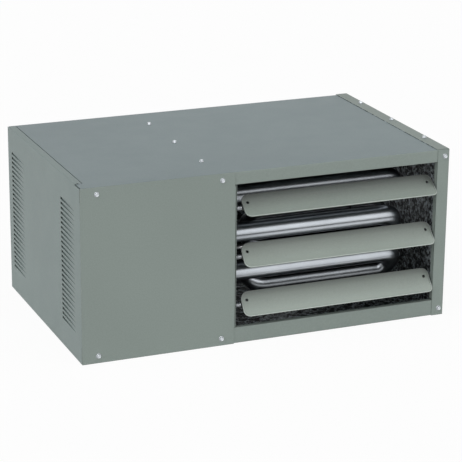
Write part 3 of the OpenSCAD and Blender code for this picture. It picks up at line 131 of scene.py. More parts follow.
class Shader:
    """A node material round one Principled shader, with short calls for the nodes it needs."""

    def __init__(self, name):
        self.mat = bpy.data.materials.new(name)
        self.mat.use_nodes = True
        self.tree = self.mat.node_tree
        self.bsdf = self.tree.nodes["Principled BSDF"]
        coordinates = self.add("ShaderNodeTexCoord")
        self.place = coordinates.outputs["Object"]
        self.facing = coordinates.outputs["Normal"]
        self.share = coordinates.outputs["Generated"]

    def add(self, kind, **settings):
        node = self.tree.nodes.new(kind)
        for key, value in settings.items():
            setattr(node, key, value)
        return node

    def link(self, out, into):
        self.tree.links.new(out, into)

    def feed(self, value, socket):
        """Links an output to the socket, or sets a plain value on it."""
        if isinstance(value, bpy.types.NodeSocket):
            self.link(value, socket)
        else:
            socket.default_value = value

    def stretched(self, scale):
        node = self.add("ShaderNodeMapping")
        node.inputs["Scale"].default_value = scale
        self.link(self.place, node.inputs["Vector"])
        return node.outputs["Vector"]

    def noise(self, scale, detail=3.0, rough=0.5, vector=None):
        node = self.add("ShaderNodeTexNoise")
        node.inputs["Scale"].default_value = scale
        node.inputs["Detail"].default_value = detail
        node.inputs["Roughness"].default_value = rough
        self.link(vector or self.place, node.inputs["Vector"])
        return node.outputs["Fac"]

    def cells(self, scale, vector=None):
        """A different even value, 0 to 1, in each cell of a crystal pattern."""
        node = self.add("ShaderNodeTexVoronoi")
        node.inputs["Scale"].default_value = scale
        self.link(vector or self.place, node.inputs["Vector"])
        split = self.add("ShaderNodeSeparateColor")
        self.link(node.outputs["Color"], split.inputs["Color"])
        return split.outputs["Red"]

    def ramp(self, fac, *stops):
        """Colours at places from 0 to 1, and even changes between them."""
        node = self.add("ShaderNodeValToRGB")
        while len(node.color_ramp.elements) < len(stops):
            node.color_ramp.elements.new(0.5)
        for element, (place, colour) in zip(node.color_ramp.elements, stops):
            element.position = place
            element.color = colour
        self.link(fac, node.inputs["Fac"])
        return node.outputs["Color"]

    def tones(self, fac, pair, low=0.3, high=0.7):
        """The first tone where the pattern is under low, the second where it is over high."""
        return self.ramp(fac, (low, pair[0]), (high, pair[1]))

    def spread(self, fac, reach):
        """Turns 0 to 1 into the reach from its first to its second number."""
        node = self.add("ShaderNodeMapRange")
        node.inputs["To Min"].default_value, node.inputs["To Max"].default_value = reach
        self.link(fac, node.inputs["Value"])
        return node.outputs["Result"]

    def limits(self, value, start, end):
        """0 where the value is at start, 1 where it is at end, and even in between."""
        node = self.add("ShaderNodeMapRange")
        node.inputs["From Min"].default_value = start
        node.inputs["From Max"].default_value = end
        self.link(value, node.inputs["Value"])
        return node.outputs["Result"]

    def axis(self, vector, index):
        node = self.add("ShaderNodeSeparateXYZ")
        self.link(vector, node.inputs[0])
        return node.outputs[index]

    def math(self, operation, *values):
        node = self.add("ShaderNodeMath", operation=operation)
        for value, socket in zip(values, node.inputs):
            self.feed(value, socket)
        return node.outputs[0]

    def vectors(self, operation, *values):
        node = self.add("ShaderNodeVectorMath", operation=operation)
        for value, socket in zip(values, node.inputs):
            self.feed(value, socket)
        return node.outputs["Value" if operation == "DOT_PRODUCT" else "Vector"]

    def mix(self, fac, one, two, blend="MIX"):
        node = self.add("ShaderNodeMix", data_type="RGBA", blend_type=blend)
        for value, socket in ((fac, node.inputs[0]), (one, node.inputs[6]), (two, node.inputs[7])):
            self.feed(value, socket)
        return node.outputs[2]

    def shaded_by_occlusion(self, colour, reach, low, high, dark):
        """The colour with painted shade on it: darkest where less than a share low of the space
        within reach is open, and unchanged where more than a share high is."""
        node = self.add("ShaderNodeAmbientOcclusion", samples=8)
        node.inputs["Distance"].default_value = reach
        occlusion_shade = self.tones(node.outputs["AO"], (grey(dark), WHITE), low, high)
        return self.mix(1.0, colour, occlusion_shade, "MULTIPLY")

    def colour(self, out):
        self.link(out, self.bsdf.inputs["Base Color"])

    def rough(self, out):
        self.link(out, self.bsdf.inputs["Roughness"])

    def bump(self, *heights, edge):
        """Heights are (output, depth in metres); edge is the radius that sharp edges seem to have."""
        bevel = self.add("ShaderNodeBevel", samples=6)
        bevel.inputs["Radius"].default_value = edge
        normal = bevel.outputs["Normal"]
        for out, depth in heights:
            node = self.add("ShaderNodeBump")
            node.inputs["Strength"].default_value = 1.0
            node.inputs["Distance"].default_value = depth
            self.link(out, node.inputs["Height"])
            self.link(normal, node.inputs["Normal"])
            normal = node.outputs["Normal"]
        self.link(normal, self.bsdf.inputs["Normal"])

    def set(self, **values):
        for key, value in values.items():
            self.bsdf.inputs[key.replace("_", " ")].default_value = value


# Finishes

def paint_colour(s, pair):
    """Grey enamel: slow changes between two tones, and a fine speck."""
    body = s.tones(s.noise(scale=3.0, detail=2.0), pair)
    speck = s.tones(s.noise(scale=420.0, detail=4.0), PAINT_SPECK, 0.35, 0.65)
    return s.mix(1.0, body, speck, "MULTIPLY")


def zinc_colour(s):
    """Crystals of zinc, each with a grey of its own. Returns the colour and the crystals' values."""
    crystals = s.mix(0.45, s.cells(scale=150.0), s.cells(scale=380.0))
    shade = s.tones(crystals, ZINC_SPANGLE, 0.38, 0.85)
    cloud = s.tones(s.noise(scale=55.0, detail=2.0), ZINC_CLOUD)
    return s.mix(0.25, shade, cloud), crystals


def looks_outwards(s):
    """1 where a face of the casing looks away from its middle, 0 where it looks in.

    The place, as a share of the half sizes, is raised to its sixteenth power with its sign. That
    leaves only the side of the box on which the face lies, and the normal is compared with it.
    """
    middle = s.vectors("SUBTRACT", s.place, (0, 0, CASING_HALF[2]))
    side = s.vectors("DIVIDE", middle, CASING_HALF)
    for _ in range(4):
        side = s.vectors("MULTIPLY", side, s.vectors("ABSOLUTE", side))
    return s.limits(s.vectors("DOT_PRODUCT", side, s.facing), *OUTWARD)


def outer_side(s):
    """1 where the sheets of the casing are painted, 0 where they are bare."""
    across, depth = s.axis(s.place, 0), s.axis(s.place, 1)
    wobble = s.math("MULTIPLY_ADD", s.noise(scale=40.0, detail=2.0), RIM_WOBBLE, depth)
    rim_end = CASING_FRONT + RIM_DEPTH
    rim = s.limits(wobble, rim_end + RIM_FADE, rim_end)
    right_wall = s.limits(across, CASING_RIGHT - WALL_FROM, CASING_RIGHT - WALL_TO)
    drift = s.math("MULTIPLY_ADD", s.noise(scale=60.0, detail=4.0), OVERSPRAY_WOBBLE, depth)
    overspray = s.limits(drift, CASING_FRONT + OVERSPRAY_FROM, CASING_FRONT + OVERSPRAY_TO)
    wall = s.math("MULTIPLY", right_wall, overspray)
    left_zone = s.limits(across, CASING_LEFT + VENTS_FROM, CASING_LEFT + VENTS_TO)
    vents = s.math("MULTIPLY", left_zone, s.limits(s.axis(s.facing, 0), *VENT_FACING))
    outside = s.math("MAXIMUM", looks_outwards(s), rim)
    return s.math("MAXIMUM", outside, s.math("MAXIMUM", wall, vents))


def painted_casing(name, pair, front_pair=None):
    """Sheets that are painted outside and left galvanised inside, with painted shade in their seams
    and recesses.
    """
    s = Shader(name)
    mask = outer_side(s)
    zinc, crystals = zinc_colour(s)
    paint = paint_colour(s, pair)
    # Faces that look to the front take the front pair; the others keep a painted tint of the light
    # falling on them
    if front_pair:
        front = s.limits(s.axis(s.facing, 1), *FRONT_FACING)
        paint = s.mix(front, paint, paint_colour(s, front_pair))
    # Painted shade: the colour is darkened where nearby surfaces close in, as in seams and the ends
    # of vents
    s.colour(s.shaded_by_occlusion(s.mix(mask, zinc, paint), reach=2.5 * MM, low=0.30, high=0.70, dark=0.15))
    orange_peel = s.noise(scale=25.0)
    s.rough(s.mix(mask, s.spread(crystals, ROUGH_ZINC), s.spread(orange_peel, ROUGH_CASING)))
    bare = s.math("SUBTRACT", 1.0, mask)
    s.link(s.math("MULTIPLY", bare, 0.75), s.bsdf.inputs["Metallic"])
    s.bump((s.noise(scale=5.0, detail=1.0), 0.6 * MM), (s.noise(scale=900.0, detail=2.0), 0.02 * MM),
           edge=0.6 * MM)
    s.set(Specular_IOR_Level=0.3)
    return s.mat


def painted_louver(name, pair):
    """The blades' enamel, with painted shade where it lies deep in the outlet, and a painted
    highlight and shade from its lip to its upper edge.
    """
    s = Shader(name)
    paint = s.shaded_by_occlusion(paint_colour(s, pair), reach=90 * MM, low=0.40, high=0.92, dark=0.06)
    s.colour(s.mix(1.0, paint, s.ramp(s.axis(s.share, 2), *BLADE_PAINTED_SHADE), "MULTIPLY"))
    s.rough(s.spread(s.noise(scale=25.0), ROUGH_LOUVER))
    s.bump((s.noise(scale=7.0, detail=1.0), 0.4 * MM), (s.noise(scale=900.0, detail=2.0), 0.02 * MM),
           edge=0.5 * MM)
    s.set(Coat_Weight=0.1, Coat_Roughness=0.22)
    return s.mat


def galvanised_steel():
    s = Shader("galvanised_steel")
    zinc, crystals = zinc_colour(s)
    s.colour(zinc)
    s.rough(s.spread(crystals, ROUGH_ZINC))
    s.bump((crystals, 0.06 * MM), (s.noise(scale=600.0), 0.01 * MM), edge=0.4 * MM)
    s.set(Metallic=0.75)
    return s.mat


def aluminised_steel():
    """The heat tubes: drawn along their length, with painted shade where they lie deep."""
    s = Shader("aluminised_steel")
    streaks = s.noise(scale=1.0, vector=s.stretched((9.0, 120.0, 120.0)))
    cloud = s.noise(scale=14.0, detail=2.0)
    metal = s.mix(0.5, s.tones(streaks, ALUMINISED), s.tones(cloud, ALUMINISED))
    s.colour(s.shaded_by_occlusion(metal, reach=110 * MM, low=0.18, high=0.66, dark=0.05))
    s.rough(s.spread(cloud, ROUGH_TUBE))
    s.bump((cloud, 0.04 * MM), edge=0.4 * MM)
    s.set(Metallic=1.0)
    return s.mat


def zinc_steel():
    """Bright plated screws, rivets, pins and springs, with painted shadow round their feet."""
    s = Shader("zinc_steel")
    grain = s.noise(scale=700.0, detail=4.0)
    s.colour(s.shaded_by_occlusion(s.tones(grain, ZINC_PLATED), reach=3 * MM, low=0.45, high=0.95, dark=0.08))
    s.rough(s.spread(s.noise(scale=300.0), ROUGH_ZINC_PLATED))
    s.bump((grain, 0.02 * MM), edge=0.35 * MM)
    s.set(Metallic=1.0)
    return s.mat


def dark_steel():
    s = Shader("dark_steel")
    s.colour(s.tones(s.noise(scale=40.0), DARK_STEEL))
    s.rough(s.spread(s.noise(scale=90.0), ROUGH_DARK_STEEL))
    s.bump((s.noise(scale=800.0), 0.03 * MM), edge=0.5 * MM)
    s.set(Coat_Weight=0.15, Coat_Roughness=0.3)
    return s.mat


def cast_aluminium():
    s = Shader("cast_aluminium")
    grain = s.noise(scale=500.0, detail=5.0, rough=0.7)
    s.colour(s.tones(s.noise(scale=30.0), CAST_ALUMINIUM))
    s.rough(s.spread(grain, ROUGH_CAST))
    s.bump((grain, 0.06 * MM), edge=0.7 * MM)
    s.set(Metallic=0.85)
    return s.mat


def moulded(name, dark, light, rough, grain_depth):
    """A moulded plastic, ceramic or rubber: fine spark-eroded grain and slow changes of tone."""
    s = Shader(name)
    grain = s.noise(scale=1100.0, rough=0.6)
    s.colour(s.tones(s.noise(scale=35.0), (dark, light)))
    s.rough(s.spread(grain, rough))
    s.bump((grain, grain_depth), edge=0.4 * MM)
    return s.mat


def green_board():
    """A circuit board: tracks under green lacquer, and the weave of the board."""
    s = Shader("green_board")
    tracks = s.cells(scale=330.0, vector=s.stretched((1.0, 0.25, 1.0)))
    s.colour(s.tones(tracks, BOARD, 0.45, 0.55))
    s.rough(s.spread(s.noise(scale=1500.0, detail=2.0), ROUGH_BOARD))
    s.bump((tracks, 0.04 * MM), edge=0.2 * MM)
    return s.mat


def brass():
    s = Shader("brass")
    turned = s.noise(scale=1.0, vector=s.stretched((900.0, 900.0, 60.0)))
    s.colour(s.tones(turned, BRASS))
    s.rough(s.spread(turned, ROUGH_BRASS))
    s.bump((turned, 0.02 * MM), edge=0.4 * MM)
    s.set(Metallic=1.0)
    return s.mat


FINISHES = {
    "painted_casing": painted_casing("painted_casing", PAINT),
    # Top and left sheets: a painted light tint on their faces that don't look to the front
    "painted_casing_skylight_tinted": painted_casing("painted_casing_skylight_tinted", PAINT_SKYLIGHT_TINTED, PAINT),
    "painted_casing_sidelight_tinted": painted_casing("painted_casing_sidelight_tinted", PAINT_SIDELIGHT_TINTED, PAINT),
    "painted_louver": painted_louver("painted_louver", PAINT_LOUVER),
    # The hems: the blades' enamel in lighter tones, a painted highlight along the lips
    "painted_louver_edge_highlight": painted_louver("painted_louver_edge_highlight", PAINT_EDGE_HIGHLIGHT),
    "galvanised_steel": galvanised_steel(),
    "aluminised_steel": aluminised_steel(),
    "zinc_steel": zinc_steel(),
    "dark_steel": dark_steel(),
    "cast_aluminium": cast_aluminium(),
    "green_board": green_board(),
    "brass": brass(),
}
for name, values in MOULDED.items():
    FINISHES[name] = moulded(name, *values)

# Nodes whose finish isn't simply that of their material slot
OWN_FINISH = {
    "top_panel": "painted_casing_skylight_tinted",
    "left_access_panel": "painted_casing_sidelight_tinted",
    "louver_blade_1": "painted_louver",
    "louver_blade_2": "painted_louver",
    "louver_blade_3": "painted_louver",
}


# Solids of the frame

SHARP_ANGLE = 30                # degrees between faces from which an edge stays sharp
WELD = 0.001 * MM


def smooth_by_angle():
    """A modifier that welds and smooths a curved face, and keeps the sharp edges."""
    tree = bpy.data.node_groups.new("smooth_by_angle", "GeometryNodeTree")
    tree.interface.new_socket("Geometry", in_out="INPUT", socket_type="NodeSocketGeometry")
    tree.interface.new_socket("Geometry", in_out="OUTPUT", socket_type="NodeSocketGeometry")
    add, link = tree.nodes.new, tree.links.new
    start, end = add("NodeGroupInput"), add("NodeGroupOutput")
    weld = add("GeometryNodeMergeByDistance")
    weld.inputs["Distance"].default_value = WELD
    faces, edges = add("GeometryNodeSetShadeSmooth"), add("GeometryNodeSetShadeSmooth")
    edges.domain = "EDGE"
    edges.inputs["Shade Smooth"].default_value = False
    angle = add("GeometryNodeInputMeshEdgeAngle")
    sharp = add("FunctionNodeCompare")
    sharp.inputs[1].default_value = math.radians(SHARP_ANGLE)
    link(start.outputs[0], weld.inputs["Geometry"])
    link(weld.outputs["Geometry"], faces.inputs["Geometry"])
    link(faces.outputs["Geometry"], edges.inputs["Geometry"])
    link(angle.outputs["Unsigned Angle"], sharp.inputs[0])
    link(sharp.outputs["Result"], edges.inputs["Selection"])
    link(edges.outputs["Geometry"], end.inputs[0])
    return tree


SMOOTH = smooth_by_angle()
SLOTS = {part["node"]: part["material_slot"] for part in frame["record"]["subparts"]}

for name, obj in nodes.items():
    obj.data.materials.clear()
    obj.data.materials.append(FINISHES[OWN_FINISH.get(name) or SLOTS[name]])
    obj.modifiers.new("smooth", "NODES").node_group = SMOOTH


# Pieces in mesh code

def mesh_piece(name, form, finish, body, replaced=()):
    """Makes an object of a bmesh, gives it its material and lets it ride on its body."""
    mesh = bpy.data.meshes.new(name)
    bmesh.ops.recalc_face_normals(form, faces=form.faces)
    form.to_mesh(mesh)
    form.free()
    mesh.materials.append(FINISHES[finish])
    piece = bpy.data.objects.new(name, mesh)
    scene.collection.objects.link(piece)
    piece.modifiers.new("smooth", "NODES").node_group = SMOOTH
    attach(piece, body)
    if replaced:
        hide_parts(*replaced)


def skin(form, rings):
    """Joins rings of points, all of one length, into a tube with closed ends."""
    made = [[form.verts.new(p) for p in ring] for ring in rings]
    count = len(made[0])
    for one, two in zip(made, made[1:]):
        for i in range(count):
            form.faces.new((one[i], one[(i + 1) % count], two[(i + 1) % count], two[i]))
    form.faces.new(list(reversed(made[0])))
    form.faces.new(made[-1])


def round_ring(centre, one, two, radius, count, height, along):
    """Points round an axis, at a height along it; radius is a number or a function of the angle."""
    points = []
    for i in range(count):
        a = 2 * math.pi * i / count
        r = radius(a) if callable(radius) else radius
        points.append(centre + one * (r * math.cos(a)) + two * (r * math.sin(a)) + along * height)
    return points


# Hex washer screws, from the tip of the shank to the recess in the head

SCREW_SIDES = 48
WASHER_R = 4.4 * MM
HEX_R = 3.7 * MM
HEAD_H = 3.6 * MM
SHANK_R = 1.9 * MM
SHANK_L = 10 * MM
TIP_R = 0.25 * SHANK_R
POINT_R, POINT_L = 0.8 * SHANK_R, 1.4 * MM
THREAD_START = 1.8 * MM             # from the tip to the first turn
THREAD_SPARE = 2.5 * MM             # length of the shank without whole turns
THREAD_PITCH = 1.06 * MM
THREAD_ROOT_R = SHANK_R - 0.35 * MM
# Height over the seat, and radius
WASHER_OUTLINE = ((0, WASHER_R - 0.1 * MM), (0.12 * MM, WASHER_R), (0.55 * MM, WASHER_R),
                  (0.72 * MM, WASHER_R - 0.2 * MM), (0.80 * MM, WASHER_R - 0.55 * MM))
# Height over the seat, and how far within the full hexagon
HEX_OUTLINE = ((0.84 * MM, -0.02 * MM), (1.10 * MM, 0.10 * MM), (HEAD_H - 0.55 * MM, 0.10 * MM))
CHAMFER_H = 0.22 * MM
CHAMFER_INSET = 0.14 * MM
CHAMFER_R = 0.90 * HEX_R
# Depth below the top of the head, and radius
RECESS_OUTLINE = ((0, 0.76 * HEX_R), (0.05 * MM, 0.70 * HEX_R), (0.45 * MM, 0.62 * HEX_R),
                  (0.60 * MM, 0.30 * HEX_R))
# How far the first screw of a node is turned, and each next one more, in radians
FIRST_TWIST, NEXT_TWIST = 0.3, 0.9
SAME_POINT = 0.002 * MM

# The nodes of screws, and the way their heads look
SCREW_SETS = {
    "front_panel_screws": (0, -1, 0),
    "right_flange_screws": (0, -1, 0),
    "right_top_screws": (0, 0, 1),
    "partition_screws": (0, 0, 1),
    "back_panel_screws": (0, 1, 0),
    "guard_screws": (0, 1, 0),
}


def hexagon(angle):
    """Distance from the middle of a screw head's hexagon to its side, by angle."""
    within = angle % (math.pi / 3) - math.pi / 6
    return HEX_R * math.cos(math.pi / 6) / math.cos(within)


def washer_screw(form, seat, out, twist):
    """Adds a screw: threaded shank, dished washer face, chamfered hex and its recess."""
    one = Matrix.Rotation(twist, 3, out) @ out.orthogonal().normalized()
    two = out.cross(one)
    rings = []

    def ring(height, radius):
        rings.append(round_ring(seat, one, two, radius, SCREW_SIDES, height, out))

    ring(-SHANK_L, TIP_R)
    ring(-SHANK_L + POINT_L, POINT_R)
    for k in range(int((SHANK_L - THREAD_SPARE) / THREAD_PITCH)):
        low = -SHANK_L + THREAD_START + k * THREAD_PITCH
        ring(low, THREAD_ROOT_R)
        ring(low + THREAD_PITCH / 2, SHANK_R)
    ring(0, THREAD_ROOT_R)
    for height, radius in WASHER_OUTLINE:
        ring(height, radius)
    for height, inset in HEX_OUTLINE:
        ring(height, lambda a: hexagon(a) - inset)
    ring(HEAD_H - CHAMFER_H, lambda a: min(hexagon(a) - CHAMFER_INSET, CHAMFER_R))
    for depth, radius in RECESS_OUTLINE:
        ring(HEAD_H - depth, radius)
    skin(form, rings)


def islands(obj):
    """Lowest and highest corner of each separate solid of a CAD node, always in order of place."""
    form = bmesh.new()
    form.from_mesh(obj.data)
    bmesh.ops.remove_doubles(form, verts=form.verts, dist=SAME_POINT)
    left = set(form.verts)
    found = []
    while left:
        stack = [left.pop()]
        group = [stack[0]]
        while stack:
            for edge in stack.pop().link_edges:
                for vert in edge.verts:
                    if vert in left:
                        left.discard(vert)
                        stack.append(vert)
                        group.append(vert)
        places = [obj.matrix_world @ v.co for v in group]
        found.append((Vector([min(p[k] for p in places) for k in range(3)]),
                      Vector([max(p[k] for p in places) for k in range(3)])))
    form.free()
    return sorted(found, key=lambda box: [round(c / MM) for c in box[0]])


def make_screws():
    """Screws with threads and recesses on the seats of the CAD screws, which they replace."""
    for node, direction in SCREW_SETS.items():
        out = Vector(direction)
        form = bmesh.new()
        for i, (low, high) in enumerate(islands(nodes[node])):
            middle = (low + high) / 2
            top = max(low.dot(out), high.dot(out))
            seat = middle + out * (top - HEAD_H - middle.dot(out))
            washer_screw(form, seat, out, NEXT_TWIST * i + FIRST_TWIST)
        mesh_piece(node + "_threaded", form, "zinc_steel", "heater", (node,))


# Hemmed edges on the louver blades. Sizes as in the section of the CAD blade

CHORD = 46 * MM
SAG = 3.5 * MM
ARC_R = ((CHORD / 2) ** 2 + SAG ** 2) / (2 * SAG)
BLADE_X = (CASING_LEFT + 292 * MM, CASING_LEFT + 658 * MM)
PIVOT_Y = CASING_FRONT + 10.7 * MM
PIVOT_Z = (242.5 * MM, 154.5 * MM, 66.5 * MM)
BLADE_TILT = (38, 48, 53)
PIVOT_ALONG = -3 * MM
PIVOT_BEHIND = 9 * MM
LIP_CORNER_R = 11 * MM
UPPER_CORNER_R = 14 * MM
HEM_INSET = 0.75 * MM
HEM_H = 0.55 * MM
HEM_W = 1.3 * MM
HEM_OVERHANG = 0.35 * MM            # how far the hem's roll reaches back towards the edge
HEM_SUNK = 0.05 * MM
HEM_SIDES = 10
CORNER_STEPS = 8
LIP_STEPS = 60


def blade_point(i, u, v, lift):
    """Point over the hollow side of blade i: u across towards the lip, v along from the left end."""
    height = ARC_R - SAG - math.sqrt(ARC_R ** 2 - u * u)
    slope = math.asin(max(-1, min(1, u / ARC_R)))
    x = u - lift * math.sin(slope) - PIVOT_ALONG
    y = height + lift * math.cos(slope) + PIVOT_BEHIND
    turn = math.radians(90 + BLADE_TILT[i])
    return Vector((BLADE_X[0] + v, PIVOT_Y + y * math.cos(turn) - x * math.sin(turn),
                   PIVOT_Z[i] + y * math.sin(turn) + x * math.cos(turn)))


def hem_path():
    """Points (u, v) just inside the outline: down the left end, along the lip, up the right end."""
    length = BLADE_X[1] - BLADE_X[0]
    lip = CHORD / 2
    points = []

    def corner(radius, u, v, start):
        for k in range(CORNER_STEPS + 1):
            a = math.radians(start + 90 * k / CORNER_STEPS)
            points.append((u + (radius - HEM_INSET) * math.cos(a),
                           v + (radius - HEM_INSET) * math.sin(a)))

    corner(UPPER_CORNER_R, -lip + UPPER_CORNER_R, UPPER_CORNER_R, 180)
    corner(LIP_CORNER_R, lip - LIP_CORNER_R, LIP_CORNER_R, 270)
    for k in range(1, LIP_STEPS):
        along = LIP_CORNER_R + (length - 2 * LIP_CORNER_R) * k / LIP_STEPS
        points.append((lip - HEM_INSET, along))
    corner(LIP_CORNER_R, lip - LIP_CORNER_R, length - LIP_CORNER_R, 0)
    corner(UPPER_CORNER_R, -lip + UPPER_CORNER_R, length - UPPER_CORNER_R, 90)
    return points


def make_hems():
    path = hem_path()
    for i in range(len(PIVOT_Z)):
        form = bmesh.new()
        rings = []
        for k, (u, v) in enumerate(path):
            before, after = path[max(k - 1, 0)], path[min(k + 1, len(path) - 1)]
            along = Vector((after[0] - before[0], after[1] - before[1])).normalized()
            inwards = Vector((-along.y, along.x))
            ring = []
            for n in range(HEM_SIDES):
                a = 2 * math.pi * n / HEM_SIDES
                side = HEM_W * (0.5 + 0.5 * math.cos(a)) - HEM_OVERHANG
                lift = HEM_H * math.sin(a) - HEM_SUNK
                ring.append(blade_point(i, u + inwards.x * side, v + inwards.y * side, lift))
            rings.append(ring)
        skin(form, rings)
        mesh_piece("louver_hem_%d" % (i + 1), form, "painted_louver_edge_highlight", "louver_%d" % (i + 1))


# Pipe thread on the gas inlet

GAS_PIPE_X, GAS_PIPE_Z = CASING_LEFT + 48 * MM, 62 * MM
GAS_THREAD_Y = (CASING_FRONT + 434.2 * MM, CASING_FRONT + 452.0 * MM)
GAS_THREAD_PITCH = 1.814 * MM
GAS_THREAD_ROOT, GAS_THREAD_CREST = 10.15 * MM, 10.66 * MM
GAS_THREAD_FOOT = GAS_THREAD_ROOT - 0.2 * MM
# Half widths of the ridge at its foot and at its crest, as shares of the pitch
FOOT_SHARE, CREST_SHARE = 0.42, 0.06
STEPS_PER_TURN = 40
RUN_OUT = 12                        # the crest rises over a twelfth of the length at each end


def make_pipe_thread():
    form = bmesh.new()
    start, end = GAS_THREAD_Y
    turns = (end - start) / GAS_THREAD_PITCH
    steps = int(turns * STEPS_PER_TURN)
    rings = []
    for k in range(steps + 1):
        share = k / steps
        a = 2 * math.pi * turns * share
        y = start + (end - start) * share
        fade = min(1, RUN_OUT * share, RUN_OUT * (1 - share))
        crest = GAS_THREAD_ROOT + (GAS_THREAD_CREST - GAS_THREAD_ROOT) * fade
        ring = []
        for radius, step in ((GAS_THREAD_FOOT, -FOOT_SHARE), (crest, -CREST_SHARE),
                             (crest, CREST_SHARE), (GAS_THREAD_FOOT, FOOT_SHARE)):
            ring.append(Vector((GAS_PIPE_X + radius * math.cos(a), y + step * GAS_THREAD_PITCH,
                                GAS_PIPE_Z + radius * math.sin(a))))
        rings.append(ring)
    skin(form, rings)
    mesh_piece("gas_inlet_thread", form, "dark_steel", "heater")


# Rivets on the fan

FAN_MIDDLE = Vector((CASING_LEFT + 461 * MM, CASING_FRONT + 401 * MM, 150 * MM))
FAN_BLADES = 4
FIRST_BLADE = 45                    # degrees
# Distance of each rivet from the fan's axis, and its angle from the middle of the blade
RIVET_PLACES = ((37 * MM, -9), (37 * MM, 9), (25 * MM, -14), (25 * MM, 14))
RIVET_R = 2.7 * MM
RIVET_H = 1.9 * MM
RIVET_FOOT_R = 0.8 * RIVET_R
RIVET_SUNK = 0.3 * MM
RIVET_TOP_SHARE = 0.05              # the least radius, at the top, as a share of the full one
RIVET_SIDES = 20
RIVET_STEPS = 6


def make_fan_rivets():
    form = bmesh.new()
    out = Vector((0, 1, 0))
    one, two = Vector((1, 0, 0)), Vector((0, 0, 1))
    for blade in range(FAN_BLADES):
        for radius, turn in RIVET_PLACES:
            a = math.radians(360 / FAN_BLADES * blade + FIRST_BLADE + turn)
            foot = FAN_MIDDLE + one * (radius * math.cos(a)) + two * (radius * math.sin(a))
            rings = [round_ring(foot, one, two, RIVET_FOOT_R, RIVET_SIDES, -RIVET_SUNK, out)]
            for k in range(RIVET_STEPS + 1):
                rise = math.radians(90 * k / RIVET_STEPS)
                ring_r = RIVET_R * max(math.cos(rise), RIVET_TOP_SHARE)
                rings.append(round_ring(foot, one, two, ring_r, RIVET_SIDES,
                                        RIVET_H * math.sin(rise), out))
            skin(form, rings)
    mesh_piece("fan_rivets", form, "zinc_steel", "fan")


make_screws()
make_hems()
make_pipe_thread()
make_fan_rivets()


# Stage, light and camera

AMBIENT = 0.24          # even light from all round
FLOOR_LIFT = 0.93       # share of plain white that the camera sees over the lit floor
FLOOR_SIZE = 8.0
FLOOR_GAP = 0.2 * MM

# Name: to the right, to the front, up, strength, and width of the light in degrees
SUNS = {
    "overhead": (-0.08, 0.36, 1.0, 1.08, 80),
    "front": (-0.15, 1.0, 0.35, 0.88, 50),
    "left": (-1.0, 0.35, 0.45, 0.82, 50),
}

# The camera of the photo's view: place in metres, angles in radians, lens in millimetres
CAMERA_PLACE = (-1.2897, -3.1383, 1.2548)
CAMERA_YAW, CAMERA_PITCH, CAMERA_ROLL = 0.3935, 0.3192, 0.0094
CAMERA_LENS, CAMERA_SENSOR = 153.13, 36
CAMERA_NEAR, CAMERA_FAR = 0.1, 50


def sees_white(tree):
    """1 for the rays that show the background: straight from the camera, off metal, through glass."""
    path = tree.nodes.new("ShaderNodeLightPath")
    out = path.outputs["Is Camera Ray"]
    for kind in ("Is Glossy Ray", "Is Transmission Ray"):
        either = tree.nodes.new("ShaderNodeMath")
        either.operation = "MAXIMUM"
        tree.links.new(out, either.inputs[0])
        tree.links.new(path.outputs[kind], either.inputs[1])
        out = either.outputs[0]
    return out


def make_world():
    world = bpy.data.worlds.new("studio")
    world.use_nodes = True
    scene.world = world
    tree = world.node_tree
    sky = tree.nodes["Background"]
    sky.inputs["Color"].default_value = WHITE
    sky.inputs["Strength"].default_value = AMBIENT
    white = tree.nodes.new("ShaderNodeBackground")
    white.inputs["Color"].default_value = WHITE
    mix = tree.nodes.new("ShaderNodeMixShader")
    tree.links.new(sees_white(tree), mix.inputs[0])
    tree.links.new(sky.outputs[0], mix.inputs[1])
    tree.links.new(white.outputs[0], mix.inputs[2])
    tree.links.new(mix.outputs[0], tree.nodes["World Output"].inputs[0])


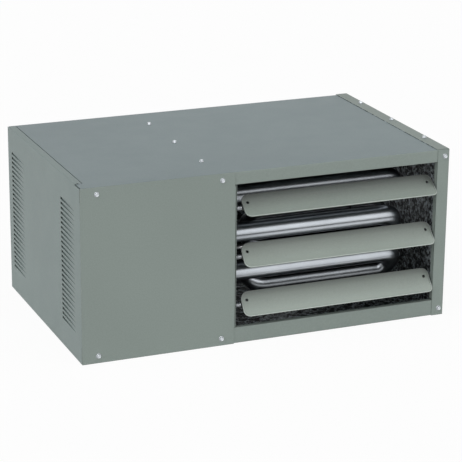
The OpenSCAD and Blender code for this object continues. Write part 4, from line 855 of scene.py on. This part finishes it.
def make_floor():
    mesh = bpy.data.meshes.new("floor")
    form = bmesh.new()
    bmesh.ops.create_grid(form, x_segments=1, y_segments=1, size=FLOOR_SIZE)
    form.to_mesh(mesh)
    form.free()
    floor = bpy.data.objects.new("floor", mesh)
    floor.location.z = cad_low.z - FLOOR_GAP
    scene.collection.objects.link(floor)
    s = Shader("floor_paint")
    s.colour(s.tones(s.noise(scale=2.0), FLOOR_PAINT))
    s.set(Roughness=0.9, Specular_IOR_Level=0.1)
    glow = s.add("ShaderNodeEmission")
    mix = s.add("ShaderNodeMixShader")
    s.link(s.math("MULTIPLY", sees_white(s.tree), FLOOR_LIFT), mix.inputs[0])
    s.link(s.bsdf.outputs[0], mix.inputs[1])
    s.link(glow.outputs[0], mix.inputs[2])
    s.link(mix.outputs[0], s.tree.nodes["Material Output"].inputs["Surface"])
    mesh.materials.append(s.mat)


def make_sun(name, from_side, from_front, height, strength, softness):
    """A far soft lamp. The first three numbers point from the object to it."""
    data = bpy.data.lights.new(name, "SUN")
    data.energy = strength
    data.angle = math.radians(softness)
    lamp = bpy.data.objects.new(name, data)
    towards = Vector((from_side, -from_front, height))
    lamp.rotation_euler = (-towards).to_track_quat("-Z", "Y").to_euler()
    scene.collection.objects.link(lamp)


def make_camera():
    data = bpy.data.cameras.new("camera")
    data.sensor_width = CAMERA_SENSOR
    data.lens = CAMERA_LENS
    data.clip_start, data.clip_end = CAMERA_NEAR, CAMERA_FAR
    camera = bpy.data.objects.new("camera", data)
    ahead = Vector((math.sin(CAMERA_YAW) * math.cos(CAMERA_PITCH),
                    math.cos(CAMERA_YAW) * math.cos(CAMERA_PITCH), -math.sin(CAMERA_PITCH)))
    level = Vector((math.cos(CAMERA_YAW), -math.sin(CAMERA_YAW), 0))
    above = level.cross(ahead)
    right = math.cos(CAMERA_ROLL) * level + math.sin(CAMERA_ROLL) * above
    up = math.cos(CAMERA_ROLL) * above - math.sin(CAMERA_ROLL) * level
    turn = Matrix((right, up, -ahead)).transposed()
    camera.matrix_world = Matrix.Translation(CAMERA_PLACE) @ turn.to_4x4()
    scene.collection.objects.link(camera)
    scene.camera = camera


make_world()
make_floor()
for name, values in SUNS.items():
    make_sun(name, *values)
make_camera()
scene.view_settings.view_transform = "Standard"

bpy.context.view_layer.update()
